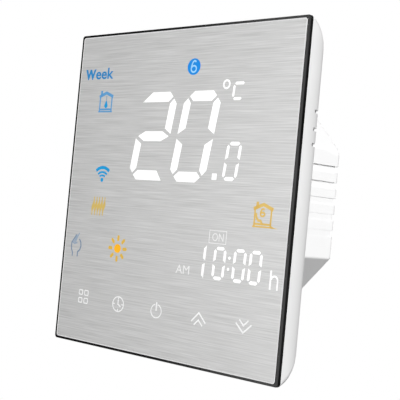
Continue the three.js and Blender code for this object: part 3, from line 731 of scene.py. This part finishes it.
def text_symbol(name, material, text, x, z, weight=0.0):
    """Plain lettering scaled to fill (low, high) spans along X and Z."""
    curve = bpy.data.curves.new(name, "FONT")
    curve.body = text
    curve.offset = weight
    curve.resolution_u = 4
    writing = add_to_scene(name, curve)
    graph = bpy.context.evaluated_depsgraph_get()
    mesh = bpy.data.meshes.new_from_object(writing.evaluated_get(graph))
    bpy.data.objects.remove(writing)
    bm = bmesh.new()
    bm.from_mesh(mesh)
    bpy.data.meshes.remove(mesh)
    bmesh.ops.remove_doubles(bm, verts=bm.verts, dist=1e-5)
    across = [v.co.x for v in bm.verts]
    up = [v.co.y for v in bm.verts]
    scale_x = (x[1] - x[0]) / (max(across) - min(across))
    scale_z = (z[1] - z[0]) / (max(up) - min(up))
    low_x, low_z = min(across), min(up)
    for v in bm.verts:
        v.co = ((v.co.x - low_x) * scale_x + x[0], FACE_Y, (v.co.y - low_z) * scale_z + z[0])
    made = bmesh.ops.extrude_face_region(bm, geom=bm.faces[:])
    for item in made["geom"]:
        if isinstance(item, bmesh.types.BMVert):
            item.co.y = SYMBOL_BACK_Y
    return symbol(name, material, bm)


def seven_segments(lit, width, height, thick, gap):
    """Outlines of the lit segments, in a frame with its origin at the digit's lower left."""
    top, middle, half = height, height / 2, thick / 2
    tip, shoulder = half + gap, 1.1 * thick + gap
    upper = middle + 1.2 * gap  # where an upper post ends, a gap above the middle

    def across(outline):
        return [(width - x, y) for x, y in outline]

    def over(outline):
        return [(x, height - y) for x, y in outline]

    bar = [
        (tip, top - half), (shoulder, top), (width - shoulder, top), (width - tip, top - half),
        (width - shoulder, top - thick), (shoulder, top - thick),
    ]
    top_bar = [(0, top - thick), (shoulder, top), *bar[2:5]]
    bottom_bar = [
        (tip, half), (shoulder, thick), (width - 0.98 * thick, thick), (width, 0), (shoulder, 0),
    ]
    foot = middle + half + 1.5 * gap
    post = [
        (half, top - half - gap), (thick, top - thick - gap), (thick, foot), (0, upper),
        (0, top - thick - gap),
    ]
    tall_post = [(thick, top), (thick, upper), (0, foot), (0, top - thick)]
    right = [(x + width - thick, y) for x, y in tall_post] if "a" not in lit else across(post)
    shapes = {
        "a": bar if "f" in lit else top_bar,
        "b": right,
        "c": over(right),
        "d": over(bar) if "c" in lit else bottom_bar,
        "e": over(post),
        "f": post,
        "g": [
            (half * 0.6, middle), (shoulder, middle + half), (width - shoulder, middle + half),
            (width - half * 0.4, middle), (width - shoulder, middle - half),
            (shoulder, middle - half),
        ],
    }
    return [shapes[name] for name in lit]


DIGITS = {"0": "abcdef", "1": "bc", "2": "abdeg"}


def add_digit(bm, digit, x, z, width, height, thick, slant, gap):
    for outline in seven_segments(DIGITS[digit], width, height, thick, gap):
        add_outline(bm, [(x + u + slant * w, z + w) for u, w in outline])


def make_temperature():
    bm = bmesh.new()
    big = {"z": 2.88, "width": 13.45, "height": 23.2, "thick": 2.6, "slant": 0.17, "gap": 0.5}
    add_digit(bm, "2", -17.16, **big)
    add_digit(bm, "0", -0.97, **big)
    add_outline(bm, square(0.85, 0.8, 16.02, 4.58))
    symbol("whole_degrees", LIT_WHITE, bm)

    bm = bmesh.new()
    add_digit(bm, "0", 18.58, z=3.71, width=5.1, height=9.6, thick=0.95, slant=0.12, gap=0.28)
    symbol("tenths", LIT_WHITE, bm)

    bm = bmesh.new()
    add_stroke(bm, ellipse(17.47, 27.48, 1.05, 0.98), 0.5, closed=True)
    for outline in (
        [(20.37, 27.63), (20.82, 28.03), (23.27, 28.03), (23.62, 27.68), (23.27, 27.28),
         (20.72, 27.28)],
        [(19.87, 26.88), (20.24, 27.23), (20.62, 26.88), (20.42, 24.53), (20.02, 24.23),
         (19.67, 24.53)],
        [(20.17, 23.88), (20.57, 24.23), (22.67, 24.23), (23.02, 23.88), (22.57, 23.48),
         (20.47, 23.48)],
    ):
        add_outline(bm, outline)
    symbol("degree_unit", LIT_WHITE, bm)


def make_clock():
    bm = bmesh.new()
    small = {"z": -20.53, "width": 4.22, "height": 8.1, "thick": 0.84, "slant": 0.045, "gap": 0.26}
    for digit, x in zip("1000", (11.12, 18.17, 25.01, 30.29)):
        add_digit(bm, digit, x, **small)
    for x, z in ((23.9, -14.9), (23.76, -17.6)):
        add_outline(bm, ellipse(x, z, 0.4, 0.4, steps=20))
    symbol("clock_digits", LIT_WHITE, bm)

    bm = bmesh.new()
    add_stroke(bm, [(16.3, -11.72), (22.2, -11.72), (22.2, -8.62), (16.3, -8.62)], 0.2, closed=True)
    symbol("on_frame", LIT_WHITE_THIN, bm)
    text_symbol("on_text", LIT_WHITE_THIN, "ON", (17.35, 21.3), (-11.17, -9.22))
    text_symbol("am_text", LIT_WHITE_THIN, "AM", (5.2, 10.2), (-20.17, -18.02))
    bm = bmesh.new()
    add_stroke(bm, [(37.9, -16.55), (37.9, -21.05)], 0.46)
    bow = arc((39.1, -18.9), 1.06, 165, 0, 10)
    add_stroke(bm, [*bow, (40.16, -21.05)], 0.42)
    symbol("hours_text", LIT_WHITE, bm)


def house(bm, x, z, width, height, eaves, chimney):
    """A gabled house: a deep roof, walls, a floor band with a ground line, and a chimney."""
    thick, thin, ground = 0.85, 0.5, 0.4
    left, right = about(x, width / 2)
    apex, wall_top = z + height, z + height * 0.66
    roof = [(left - eaves, wall_top + 0.35), (x, apex - 0.5), (right + eaves, wall_top + 0.35)]
    add_stroke(bm, roof, thick)
    for wall in (left, right):
        add_stroke(bm, [(wall, z), (wall, wall_top + 0.5)], thin)
    add_stroke(bm, [(left - 0.2, z + 0.62), (right + 0.2, z + 0.62)], thin)
    add_stroke(bm, [(left - eaves, z), (right + eaves, z)], ground)
    add_stroke(bm, [(x + chimney, wall_top + 0.5), (x + chimney, apex + 0.1)], thick)


def add_six(bm, x, z, width, height, thick):
    """The figure 6: a round bowl and an arm that curves over it."""
    half = (width - thick) / 2
    bowl = 0.31 * height
    add_stroke(bm, ellipse(x, z + bowl, half, bowl - thick / 2), thick, closed=True)
    reach = 1.15 * half
    arm = ellipse(x + reach - half, z + bowl, reach, height - bowl - thick / 2, 180, 58, 12)
    add_stroke(bm, arm, thick)


def make_left_symbols():
    text_symbol("week_initial", LIT_BLUE_TEXT, "W", (-39.85, -35.2), (30.2, 33.16), 0.05)
    text_symbol("week_ending", LIT_BLUE_TEXT, "eek", (-35.15, -27.4), (30.26, 33.4), 0.02)

    bm = bmesh.new()
    house(bm, -29.62, 21.18, 5.1, 5.7, 0.45, -2.1)
    symbol("room_house", LIT_BLUE_LINE, bm)
    bm = bmesh.new()
    bulb = ellipse(-29.45, 22.82, 0.72, 0.66, -225, 45, 20)
    add_outline(bm, [*bulb, (-29.17, 24.0), (-29.45, 24.2), (-29.73, 24.0)])
    symbol("room_thermometer", LIT_LINK_BLUE, bm)
    bm = bmesh.new()
    add_stroke(bm, [(-29.45, 24.25), (-29.45, 25.6)], 0.4)
    symbol("room_thermometer_stem", LIT_PALE_STEEL_BLUE, bm)

    bm = bmesh.new()
    centre = (-28.15, 1.05)
    for radius, reach, width in ((4.65, 37.5, 0.9), (3.38, 35, 0.55), (2.46, 28, 0.5)):
        add_stroke(bm, arc(centre, radius, 90 + reach, 90 - reach, 14), width)
    add_outline(bm, ellipse(-28.15, 2.3, 0.6, 0.57, steps=20))
    symbol("radio_link", LIT_LINK_BLUE, bm)

    bm = bmesh.new()
    first, pitch, foot_z, height, sway = -31.2, 1.17, -7.55, 5.1, 0.55
    steps = [k / 16 for k in range(17)]
    shift = [min(max(1.9 * t - 0.45, 0), 1) for t in steps]
    half_width = [0.18 + 0.42 * math.sin(t * math.pi) ** 4 for t in steps]
    for i in range(5):
        middle = [
            (first + pitch * i + sway * s * s * (3 - 2 * s), foot_z + height * t)
            for t, s in zip(steps, shift)
        ]
        right = [(x + w, z) for (x, z), w in zip(middle, half_width)]
        left = [(x - w, z) for (x, z), w in zip(middle, half_width)]
        add_outline(bm, right + left[::-1])
    symbol("heating_waves", LIT_PALE_AMBER, bm)

    bm = bmesh.new()
    for line, width in (
        ([(-38.32, -19.5), (-38.27, -18.6), (-38.82, -17.6), (-39.02, -16.7), (-38.97, -15.7),
          (-38.37, -15.0), (-37.57, -14.1), (-37.17, -13.4)], 0.42),
        ([(-36.02, -19.5), (-35.97, -18.2), (-35.07, -17.5), (-34.72, -16.5), (-34.87, -15.5),
          (-35.62, -14.6)], 0.44),
    ):
        add_stroke(bm, line, width)
    symbol("manual_hands", LIT_STEEL_BLUE, bm)
    bm = bmesh.new()
    add_stroke(bm, [(-38.57, -15.7), (-37.67, -15.95), (-36.47, -15.6)], 0.4)
    add_stroke(bm, [(-38.17, -15.6), (-37.17, -14.4), (-36.77, -13.4)], 0.4)
    add_stroke(bm, [(-37.47, -15.7), (-36.57, -14.0), (-35.82, -12.9)], 0.42)
    symbol("manual_fingers", LIT_PALE_STEEL_BLUE, bm)

    bm = bmesh.new()
    centre = Vector((-18.66, -15.9))
    add_outline(bm, ellipse(*centre, 1.42, 1.18, steps=28))
    symbol("comfort_sun", LIT_ORANGE, bm)
    bm = bmesh.new()
    for i in range(8):
        way = Vector((math.cos(i * math.pi / 4) * 1.08, math.sin(i * math.pi / 4)))
        add_outline(bm, rod(centre + way * 1.95, centre + way * 3.6, 0.9))
    symbol("comfort_sun_rays", LIT_ORANGE_RAY, bm)


def make_right_symbols():
    bm = bmesh.new()
    add_outline(bm, ellipse(5.01, 32.32, 2.4, 2.12, steps=48), lift=0.5)
    symbol("weekday_disc", LIT_BLUE, bm)
    bm = bmesh.new()
    add_six(bm, 4.98, 30.72, 2.3, 3.3, 0.42)
    symbol("weekday_number", LIT_PALE_BLUE, bm)

    bm = bmesh.new()
    house(bm, 33.65, -6.72, 5.3, 5.78, 0.55, -2.0)
    add_stroke(
        bm, [(31.4, -3.57), (31.7, -4.67), (32.25, -5.27), (33.05, -5.32), (33.65, -6.27)], 0.6
    )
    add_outline(bm, [(36.35, -6.22), (37.3, -6.67), (38.9, -6.95), (36.35, -6.92)])
    add_six(bm, 33.5, -4.45, 1.85, 2.2, 0.48)
    symbol("home_programme", LIT_AMBER, bm)


TOUCH_KEY_Z = -30.6
TOUCH_KEYS = {"menu": -31.4, "timer": -16.22, "power": -0.8, "up": 15.1, "down": 30.6}


def make_touch_legends():
    z = TOUCH_KEY_Z
    bm = bmesh.new()
    x = TOUCH_KEYS["menu"]
    columns = (-1.3, 0.75, 0.62), (1.15, 0.8, 0.66)
    for dz, (dx, half_x, half_z) in product((1.5, -0.7), columns):
        box = rounded(square(half_x, half_z, x + dx, z + dz), 0.25, 3)
        add_stroke(bm, box, 0.34, closed=True)
    symbol("key_menu", LEGEND, bm)

    bm = bmesh.new()
    x = TOUCH_KEYS["timer"]
    add_stroke(bm, ellipse(x, z, 2.25, 1.95), 0.32, closed=True)
    add_stroke(bm, [(x - 0.05, z + 1.15), (x - 0.05, z), (x + 1.1, z - 0.6)], 0.42)
    for dx, dz in ((-1, 0), (1, 0), (0, -1), (0, 1)):
        add_stroke(bm, [(x + dx * 2.1, z + dz * 1.8), (x + dx * 1.4, z + dz * 1.25)], 0.3)
    symbol("key_timer", LEGEND, bm)

    bm = bmesh.new()
    x = TOUCH_KEYS["power"]
    add_stroke(bm, ellipse(x, z, 2.0, 1.72, 107, 433, 30), 0.32)
    add_stroke(bm, [(x, z + 2.3), (x, z + 0.05)], 0.55)
    symbol("key_power", LEGEND, bm)

    for key, wide, narrow in (
        ("up", ((-2.5, -0.85), (0, 1.45), (2.6, -0.9)), ((-1.5, -1.65), (0, -0.35), (1.5, -1.65))),
        ("down", ((-2.6, 0.7), (0, -1.45), (2.6, 0.7)), ((-1.5, 1.6), (0, 0.3), (1.5, 1.6))),
    ):
        bm = bmesh.new()
        for line, width in ((wide, 0.38), (narrow, 0.36)):
            add_stroke(bm, [(TOUCH_KEYS[key] + dx, z + dz) for dx, dz in line], width)
        symbol("key_" + key, LEGEND_BRIGHT, bm)


# The small parts on the back of the display board, in rows: the first part's x and z, the
# step to the next, how many there are and whether they lie level.
PART_ROWS = (
    ((1.6, 2.2), (0.0, 1.7), 5, True), ((13.4, 1.9), (0.0, 1.7), 5, True),
    ((4.6, 11.2), (1.9, 0.0), 4, False), ((5.2, -0.6), (1.9, 0.0), 3, False),
    ((-28.0, 29.2), (5.1, 0.0), 12, True), ((-30.0, -26.6), (15.4, 0.0), 5, True),
    ((-30.0, -25.0), (15.4, 0.0), 5, True), ((21.5, -14.0), (0.0, 2.1), 7, True),
    ((25.2, -14.0), (0.0, 2.1), 7, True), ((-26.5, -8.0), (0.0, 2.4), 8, False),
    ((-17.5, -14.2), (2.2, 0.0), 6, False), ((31.0, 12.4), (0.0, 1.8), 4, True),
)
PART_LENGTH, PART_WIDTH, PART_HEIGHT, PART_END, PART_END_PROUD = 1.6, 0.8, 0.5, 0.3, 0.02


def make_board_parts():
    """Rows of small surface-mounted parts, their bodies dark and their ends tinned."""
    bodies, ends = bmesh.new(), bmesh.new()
    reach = PART_LENGTH / 2
    stretches = (
        (bodies, (PART_END - reach, reach - PART_END), 0.0),
        (ends, (-reach, PART_END - reach), PART_END_PROUD),
        (ends, (reach - PART_END, reach), PART_END_PROUD),
    )
    for first, step, count, level in PART_ROWS:
        for i in range(count):
            x, z = first[0] + step[0] * i, first[1] + step[1] * i
            for bm, along, spare in stretches:
                across = about(0, PART_WIDTH / 2 + spare)
                span_x, span_z = (along, across) if level else (across, along)
                height = (board_high.y - 0.05, board_high.y + PART_HEIGHT + spare)
                add_box(bm, [x + d for d in span_x], height, [z + d for d in span_z])
    for name, bm, material in (
        ("board_part_bodies", bodies, BLACK_PART),
        ("board_part_ends", ends, TIN),
    ):
        piece = add_object(name, finish_mesh(bm, name), material)
        round_edges(piece, 0.05, 2, 50)
        place(piece, "front_cover")


# ---- Base ----

PLATE_THICKNESS = 1.2
HOUSING_HALF = 25.5
HOUSING_CORNER_CUT = 11.35
HOUSING_WALL = 2.4
HOUSING_REAR = 2.0
HOUSING_REAR_ROUNDING = 1.6
HOUSING_CORNER = 0.9
HOUSING_CORNER_FROM = 21.0
HOUSING_UPPER_CORNER = 4.2  # the upper four corners widen to this at the rear edge
# How far it is from the middle out to one of the octagon's diagonal sides.
CORNER_HALF = (2 * HOUSING_HALF - HOUSING_CORNER_CUT) / math.sqrt(2)
CAVITY_FRONT, CAVITY_ROUNDING = -5, 0.6
FLANGE_HALF, FLANGE_CORNER, FLANGE_FRONT = 27.4, 3, -2.4
FLANGE_SCREW_AT, FLANGE_BOSS_RADIUS, FLANGE_BOSS_FRONT = 24, 3.1, -3.9
SCREW_HOLE_RADIUS, FLANGE_HOLE_FLOOR = 1.5, -3.5
BOARD_RIB_AT, BOARD_RIB_HALF, BOARD_RIB_X, BOARD_RIB_FRONT = 9, 1.2, (21.4, 23.6), 9.6
GROOVE_TOP, GROOVE_PITCH, GROOVE_HEIGHT = 10.05, 4.2, 1.7
GROOVE_DEPTHS = (0.45, 0.35, 0.16, 0.08, 0.05)  # from the top groove down
MOUTH_DEPTH, MOUTH_LENGTH = 2.2, 1.8  # where a groove reaches the rear edge
NOTCH_PLACES = (19.6, 21.1, 22.6, 24.1)  # small notches in the upper corners' rear edge
NOTCH_HALF, NOTCH_DEPTH, NOTCH_HEIGHT = 0.25, 1.2, 0.8
TERMINAL_HOLE_RADIUS = 2.3
WIRE_WINDOW_Y, MAIN_WINDOW_HALF, SENSOR_WINDOW_HALF = (11.5, 16.5), 12.9, 5.3
COOLING_SLOTS, COOLING_PITCH, COOLING_HALF, COOLING_HALF_LENGTH = 6, 3.6, 0.8, 6.5
COOLING_Z = 0.6


def make_housing():
    """The octagonal box with rounded rear edges, side grooves, screw and wire openings."""
    rounding = HOUSING_REAR_ROUNDING
    rear = housing_high.y
    inside = rear - HOUSING_REAR
    turn = arc((rounding, rear - rounding), rounding, 180, 90, 8)
    section = [
        (0.0, plate_high.y - PLATE_THICKNESS, HOUSING_CORNER),
        (0.0, HOUSING_CORNER_FROM, HOUSING_CORNER),
        *[(inset, y, HOUSING_UPPER_CORNER) for inset, y in turn],
    ]
    rings = []
    for inset, y, upper in section:
        half = HOUSING_HALF - inset
        cut = HOUSING_CORNER_CUT - inset * (2 - math.sqrt(2))
        radii = [upper - inset] * 4 + [HOUSING_CORNER - inset * 0.3] * 4
        outline = rounded(octagon(half, cut, HOUSING_Z), radii, 6)
        rings.append([(x, y, z) for x, z in outline])
    bm = bmesh.new()
    loft(bm, rings)
    piece = add_object("housing_shell", finish_mesh(bm, "housing_shell"), WHITE_HOUSING)

    added = bmesh.new()
    flange = square(FLANGE_HALF, FLANGE_HALF, 0, HOUSING_Z)
    add_prism(added, rounded(flange, FLANGE_CORNER, 8), FLANGE_FRONT, -PLATE_THICKNESS)
    boolean(piece, added, "UNION")
    added = bmesh.new()
    boss = [
        (FLANGE_BOSS_RADIUS - 0.1, FLANGE_BOSS_FRONT),
        (FLANGE_BOSS_RADIUS, FLANGE_BOSS_FRONT + 0.1),
        (FLANGE_BOSS_RADIUS, -PLATE_THICKNESS - 0.1),
    ]
    for x, z in four_corners(FLANGE_SCREW_AT, HOUSING_Z):
        add_turned(added, boss, x, z, 32)
    boolean(piece, added, "UNION")

    inner = HOUSING_HALF - HOUSING_WALL
    inner_cut = 2 * inner - (CORNER_HALF - HOUSING_WALL) * math.sqrt(2)
    cavity = rounded(octagon(inner, inner_cut, HOUSING_Z), CAVITY_ROUNDING, 3)
    cuts = bmesh.new()
    add_prism(cuts, cavity, CAVITY_FRONT, inside)
    boolean(piece, cuts, "DIFFERENCE")

    added = bmesh.new()
    for side, end in product((-1, 1), repeat=2):
        span_z = about(HOUSING_Z + end * BOARD_RIB_AT, BOARD_RIB_HALF)
        span_x = sorted(side * x for x in BOARD_RIB_X)
        add_box(added, span_x, (BOARD_RIB_FRONT, inside + SUNK), span_z)
    boolean(piece, added, "UNION")

    cuts = bmesh.new()
    behind = rear + PAST
    for i, groove_depth in enumerate(GROOVE_DEPTHS):
        top = HOUSING_Z + GROOVE_TOP - GROOVE_PITCH * i
        span_z = (top - GROOVE_HEIGHT, top)
        for side in (-1, 1):
            outer = side * (HOUSING_HALF + PAST)
            floor, mouth = (side * (HOUSING_HALF - depth) for depth in (groove_depth, MOUTH_DEPTH))
            add_box(cuts, sorted((floor, outer)), (0, rear - MOUTH_LENGTH + 0.1), span_z)
            add_box(cuts, sorted((mouth, outer)), (rear - MOUTH_LENGTH, behind), span_z)
    for side, x in product((-1, 1), NOTCH_PLACES):
        z = CORNER_HALF * math.sqrt(2) - x + HOUSING_Z
        span_y, span_z = (rear - NOTCH_DEPTH, behind), (z - NOTCH_HEIGHT, z + PAST)
        add_box(cuts, about(side * x, NOTCH_HALF), span_y, span_z)
    for x, z in terminal_places():
        add_turned(cuts, [(TERMINAL_HOLE_RADIUS, y) for y in (inside - PAST, behind)], x, z, 32)
    for x, z in four_corners(FLANGE_SCREW_AT, HOUSING_Z):
        add_turned(cuts, [(SCREW_HOLE_RADIUS, y) for y in (FLANGE_HOLE_FLOOR, PAST)], x, z, 24)
    for end, half in ((-1, MAIN_WINDOW_HALF), (1, SENSOR_WINDOW_HALF)):
        span_z = sorted(HOUSING_Z + end * z for z in (inner - PAST, HOUSING_HALF + PAST))
        add_box(cuts, about(0, half), WIRE_WINDOW_Y, span_z)
    for i in range(COOLING_SLOTS):
        x = (i - (COOLING_SLOTS - 1) / 2) * COOLING_PITCH
        slot = square(COOLING_HALF, COOLING_HALF_LENGTH, x, HOUSING_Z + COOLING_Z)
        add_prism(cuts, rounded(slot, COOLING_HALF - 0.05, 5), inside - PAST, behind)
    boolean(piece, cuts, "DIFFERENCE")
    round_edges(piece, 0.12, 2, 35)
    place(piece, "base", "housing_plastic", ["rear_housing"])


def terminal_places():
    """The (x, z) of each terminal screw, from the screws' own nodes."""
    names = [n for n in sorted(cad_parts) if n.startswith(("main_screw", "sensor_screw"))]
    return [node_axis(name) for name in names]


PLATE_CORNER = 3
PLATE_GAP = 0.3  # between the plate and the housing
BOX_SCREWS_AT, SLOT_HALF, SLOT_HALF_LENGTH = 30, 2.3, 4.5
COUNTERSINK_RADIUS = 2.7


def make_plate():
    """The pressed steel plate with its slots, countersinks and spring tabs."""
    bm = bmesh.new()
    half = plate_high.x
    add_prism(bm, rounded(square(half, half), PLATE_CORNER, 8), -PLATE_THICKNESS, 0)
    piece = add_object("steel_plate", finish_mesh(bm, "steel_plate"), ZINC)
    added = bmesh.new()
    for side, end in product((-1, 1), repeat=2):
        span_z = sorted((end * (half - PLATE_THICKNESS), end * half))
        span_y = (TAB_FRONT, -PLATE_THICKNESS / 2)
        add_box(added, about(side * TAB_AT, TAB_HALF), span_y, span_z)
    boolean(piece, added, "UNION")
    cuts = bmesh.new()
    front = -PLATE_THICKNESS - PAST
    window = octagon(HOUSING_HALF + PLATE_GAP, HOUSING_CORNER_CUT, HOUSING_Z)
    add_prism(cuts, window, front, PAST)
    for side in (-1, 1):
        for slot in (
            square(SLOT_HALF, SLOT_HALF_LENGTH, side * BOX_SCREWS_AT, HOUSING_Z),
            square(SLOT_HALF_LENGTH, SLOT_HALF, 0, HOUSING_Z + side * BOX_SCREWS_AT),
        ):
            add_prism(cuts, rounded(slot, SLOT_HALF - 0.05, 8), front, PAST)
    countersink = [
        (SCREW_HOLE_RADIUS, front), (SCREW_HOLE_RADIUS, 0.1 - PLATE_THICKNESS),
        (COUNTERSINK_RADIUS, 0), (COUNTERSINK_RADIUS, PAST),
    ]
    for x, z in four_corners(FLANGE_SCREW_AT, HOUSING_Z):
        add_turned(cuts, countersink, x, z, 32)
    boolean(piece, cuts, "DIFFERENCE")
    round_edges(piece, 0.15, 2, 40)
    place(piece, "base", "plate_steel", ["mounting_plate"])


CROSS_HALF, CROSS_SHARE, CROSS_DEPTH = 0.26, 0.58, 0.7  # its reach is a share of the head


def make_screw(node, body, head_radius, head_depth, shank, length, cone=False):
    """A cross-head screw on a node's axis, its head towards the rear. Depths are from its top."""
    x, z = node_axis(node)
    top = node_box(node)[1].y
    profile = [(0.7 * shank, length), (shank, length - 0.3 * shank), (shank, head_depth)]
    if cone:
        profile += [(head_radius * 0.98, 0.12), (head_radius * 0.95, 0)]
    else:
        profile += [(head_radius, head_depth), (head_radius, 0.35)]
        profile += [(head_radius * 0.94, 0.12), (head_radius * 0.8, 0)]
    bm = bmesh.new()
    add_turned(bm, [(radius, top - depth) for radius, depth in profile], x, z, 40)
    name = node + "_turned"
    piece = add_object(name, finish_mesh(bm, name), BRIGHT_STEEL)
    reach = head_radius * CROSS_SHARE
    for half_x, half_z in ((reach, CROSS_HALF), (CROSS_HALF, reach)):
        cuts = bmesh.new()
        add_box(cuts, about(x, half_x), (top - CROSS_DEPTH, top + PAST), about(z, half_z))
        boolean(piece, cuts, "DIFFERENCE")
    round_edges(piece, 0.04, 1, 50)
    place(piece, body, "screw_steel", [node])


def make_screws():
    for name in sorted(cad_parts):
        if name.startswith("housing_screw"):
            make_screw(name, "base", 2.4, 1.0, 1.2, 3.1, cone=True)
        elif name.startswith(("main_screw", "sensor_screw")):
            make_screw(name, name, 2.0, 2.25, 1.25, 7.45)


DRESSED = {
    "light_mask": (BLACK_PART, 0.05), "display_board": (BOARD_GREEN, 0.08),
    "wifi_module": (TIN, 0.12), "control_chip": (BLACK_PART, 0.1), "clock_cell": (TIN, 0.15),
    "room_sensor": (BLACK_PART, 0.1), "display_header": (BLACK_PART, 0.06),
    "inner_cover": (WHITE_HOUSING, 0.2), "power_board": (BOARD_GREEN, 0.08),
    "header_socket": (BLACK_PART, 0.1), "relay": (RELAY_BLUE, 0.35),
    "transformer": (YELLOW_FILM, 0.25), "film_capacitor": (YELLOW_FILM, 0.35),
    "supply_capacitor_1": (CAN_SLEEVE, 0.3), "supply_capacitor_2": (CAN_SLEEVE, 0.3),
    "varistor": (BLUE_EPOXY, 0.3), "fuse": (FUSE_GREY, 0.2),
    "terminal_block_main": (TERMINAL_GREEN, 0.12), "terminal_block_sensor": (TERMINAL_GREEN, 0.12),
}


def dress_inner_parts():
    for node, (material, edge) in DRESSED.items():
        dress(node, material, edge)
    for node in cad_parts:
        if "_tongue_" in node or "_cage_" in node:
            dress(node, BRASS, 0.08, 1)
        elif node.startswith(("touch_spring", "board_screw")):
            dress(node, BRIGHT_STEEL, 0.03, 1)


make_camera()
make_stage()
make_glass()
make_film()
make_shell()
make_temperature()
make_clock()
make_left_symbols()
make_right_symbols()
make_touch_legends()
make_board_parts()
make_housing()
make_plate()
make_screws()
dress_inner_parts()
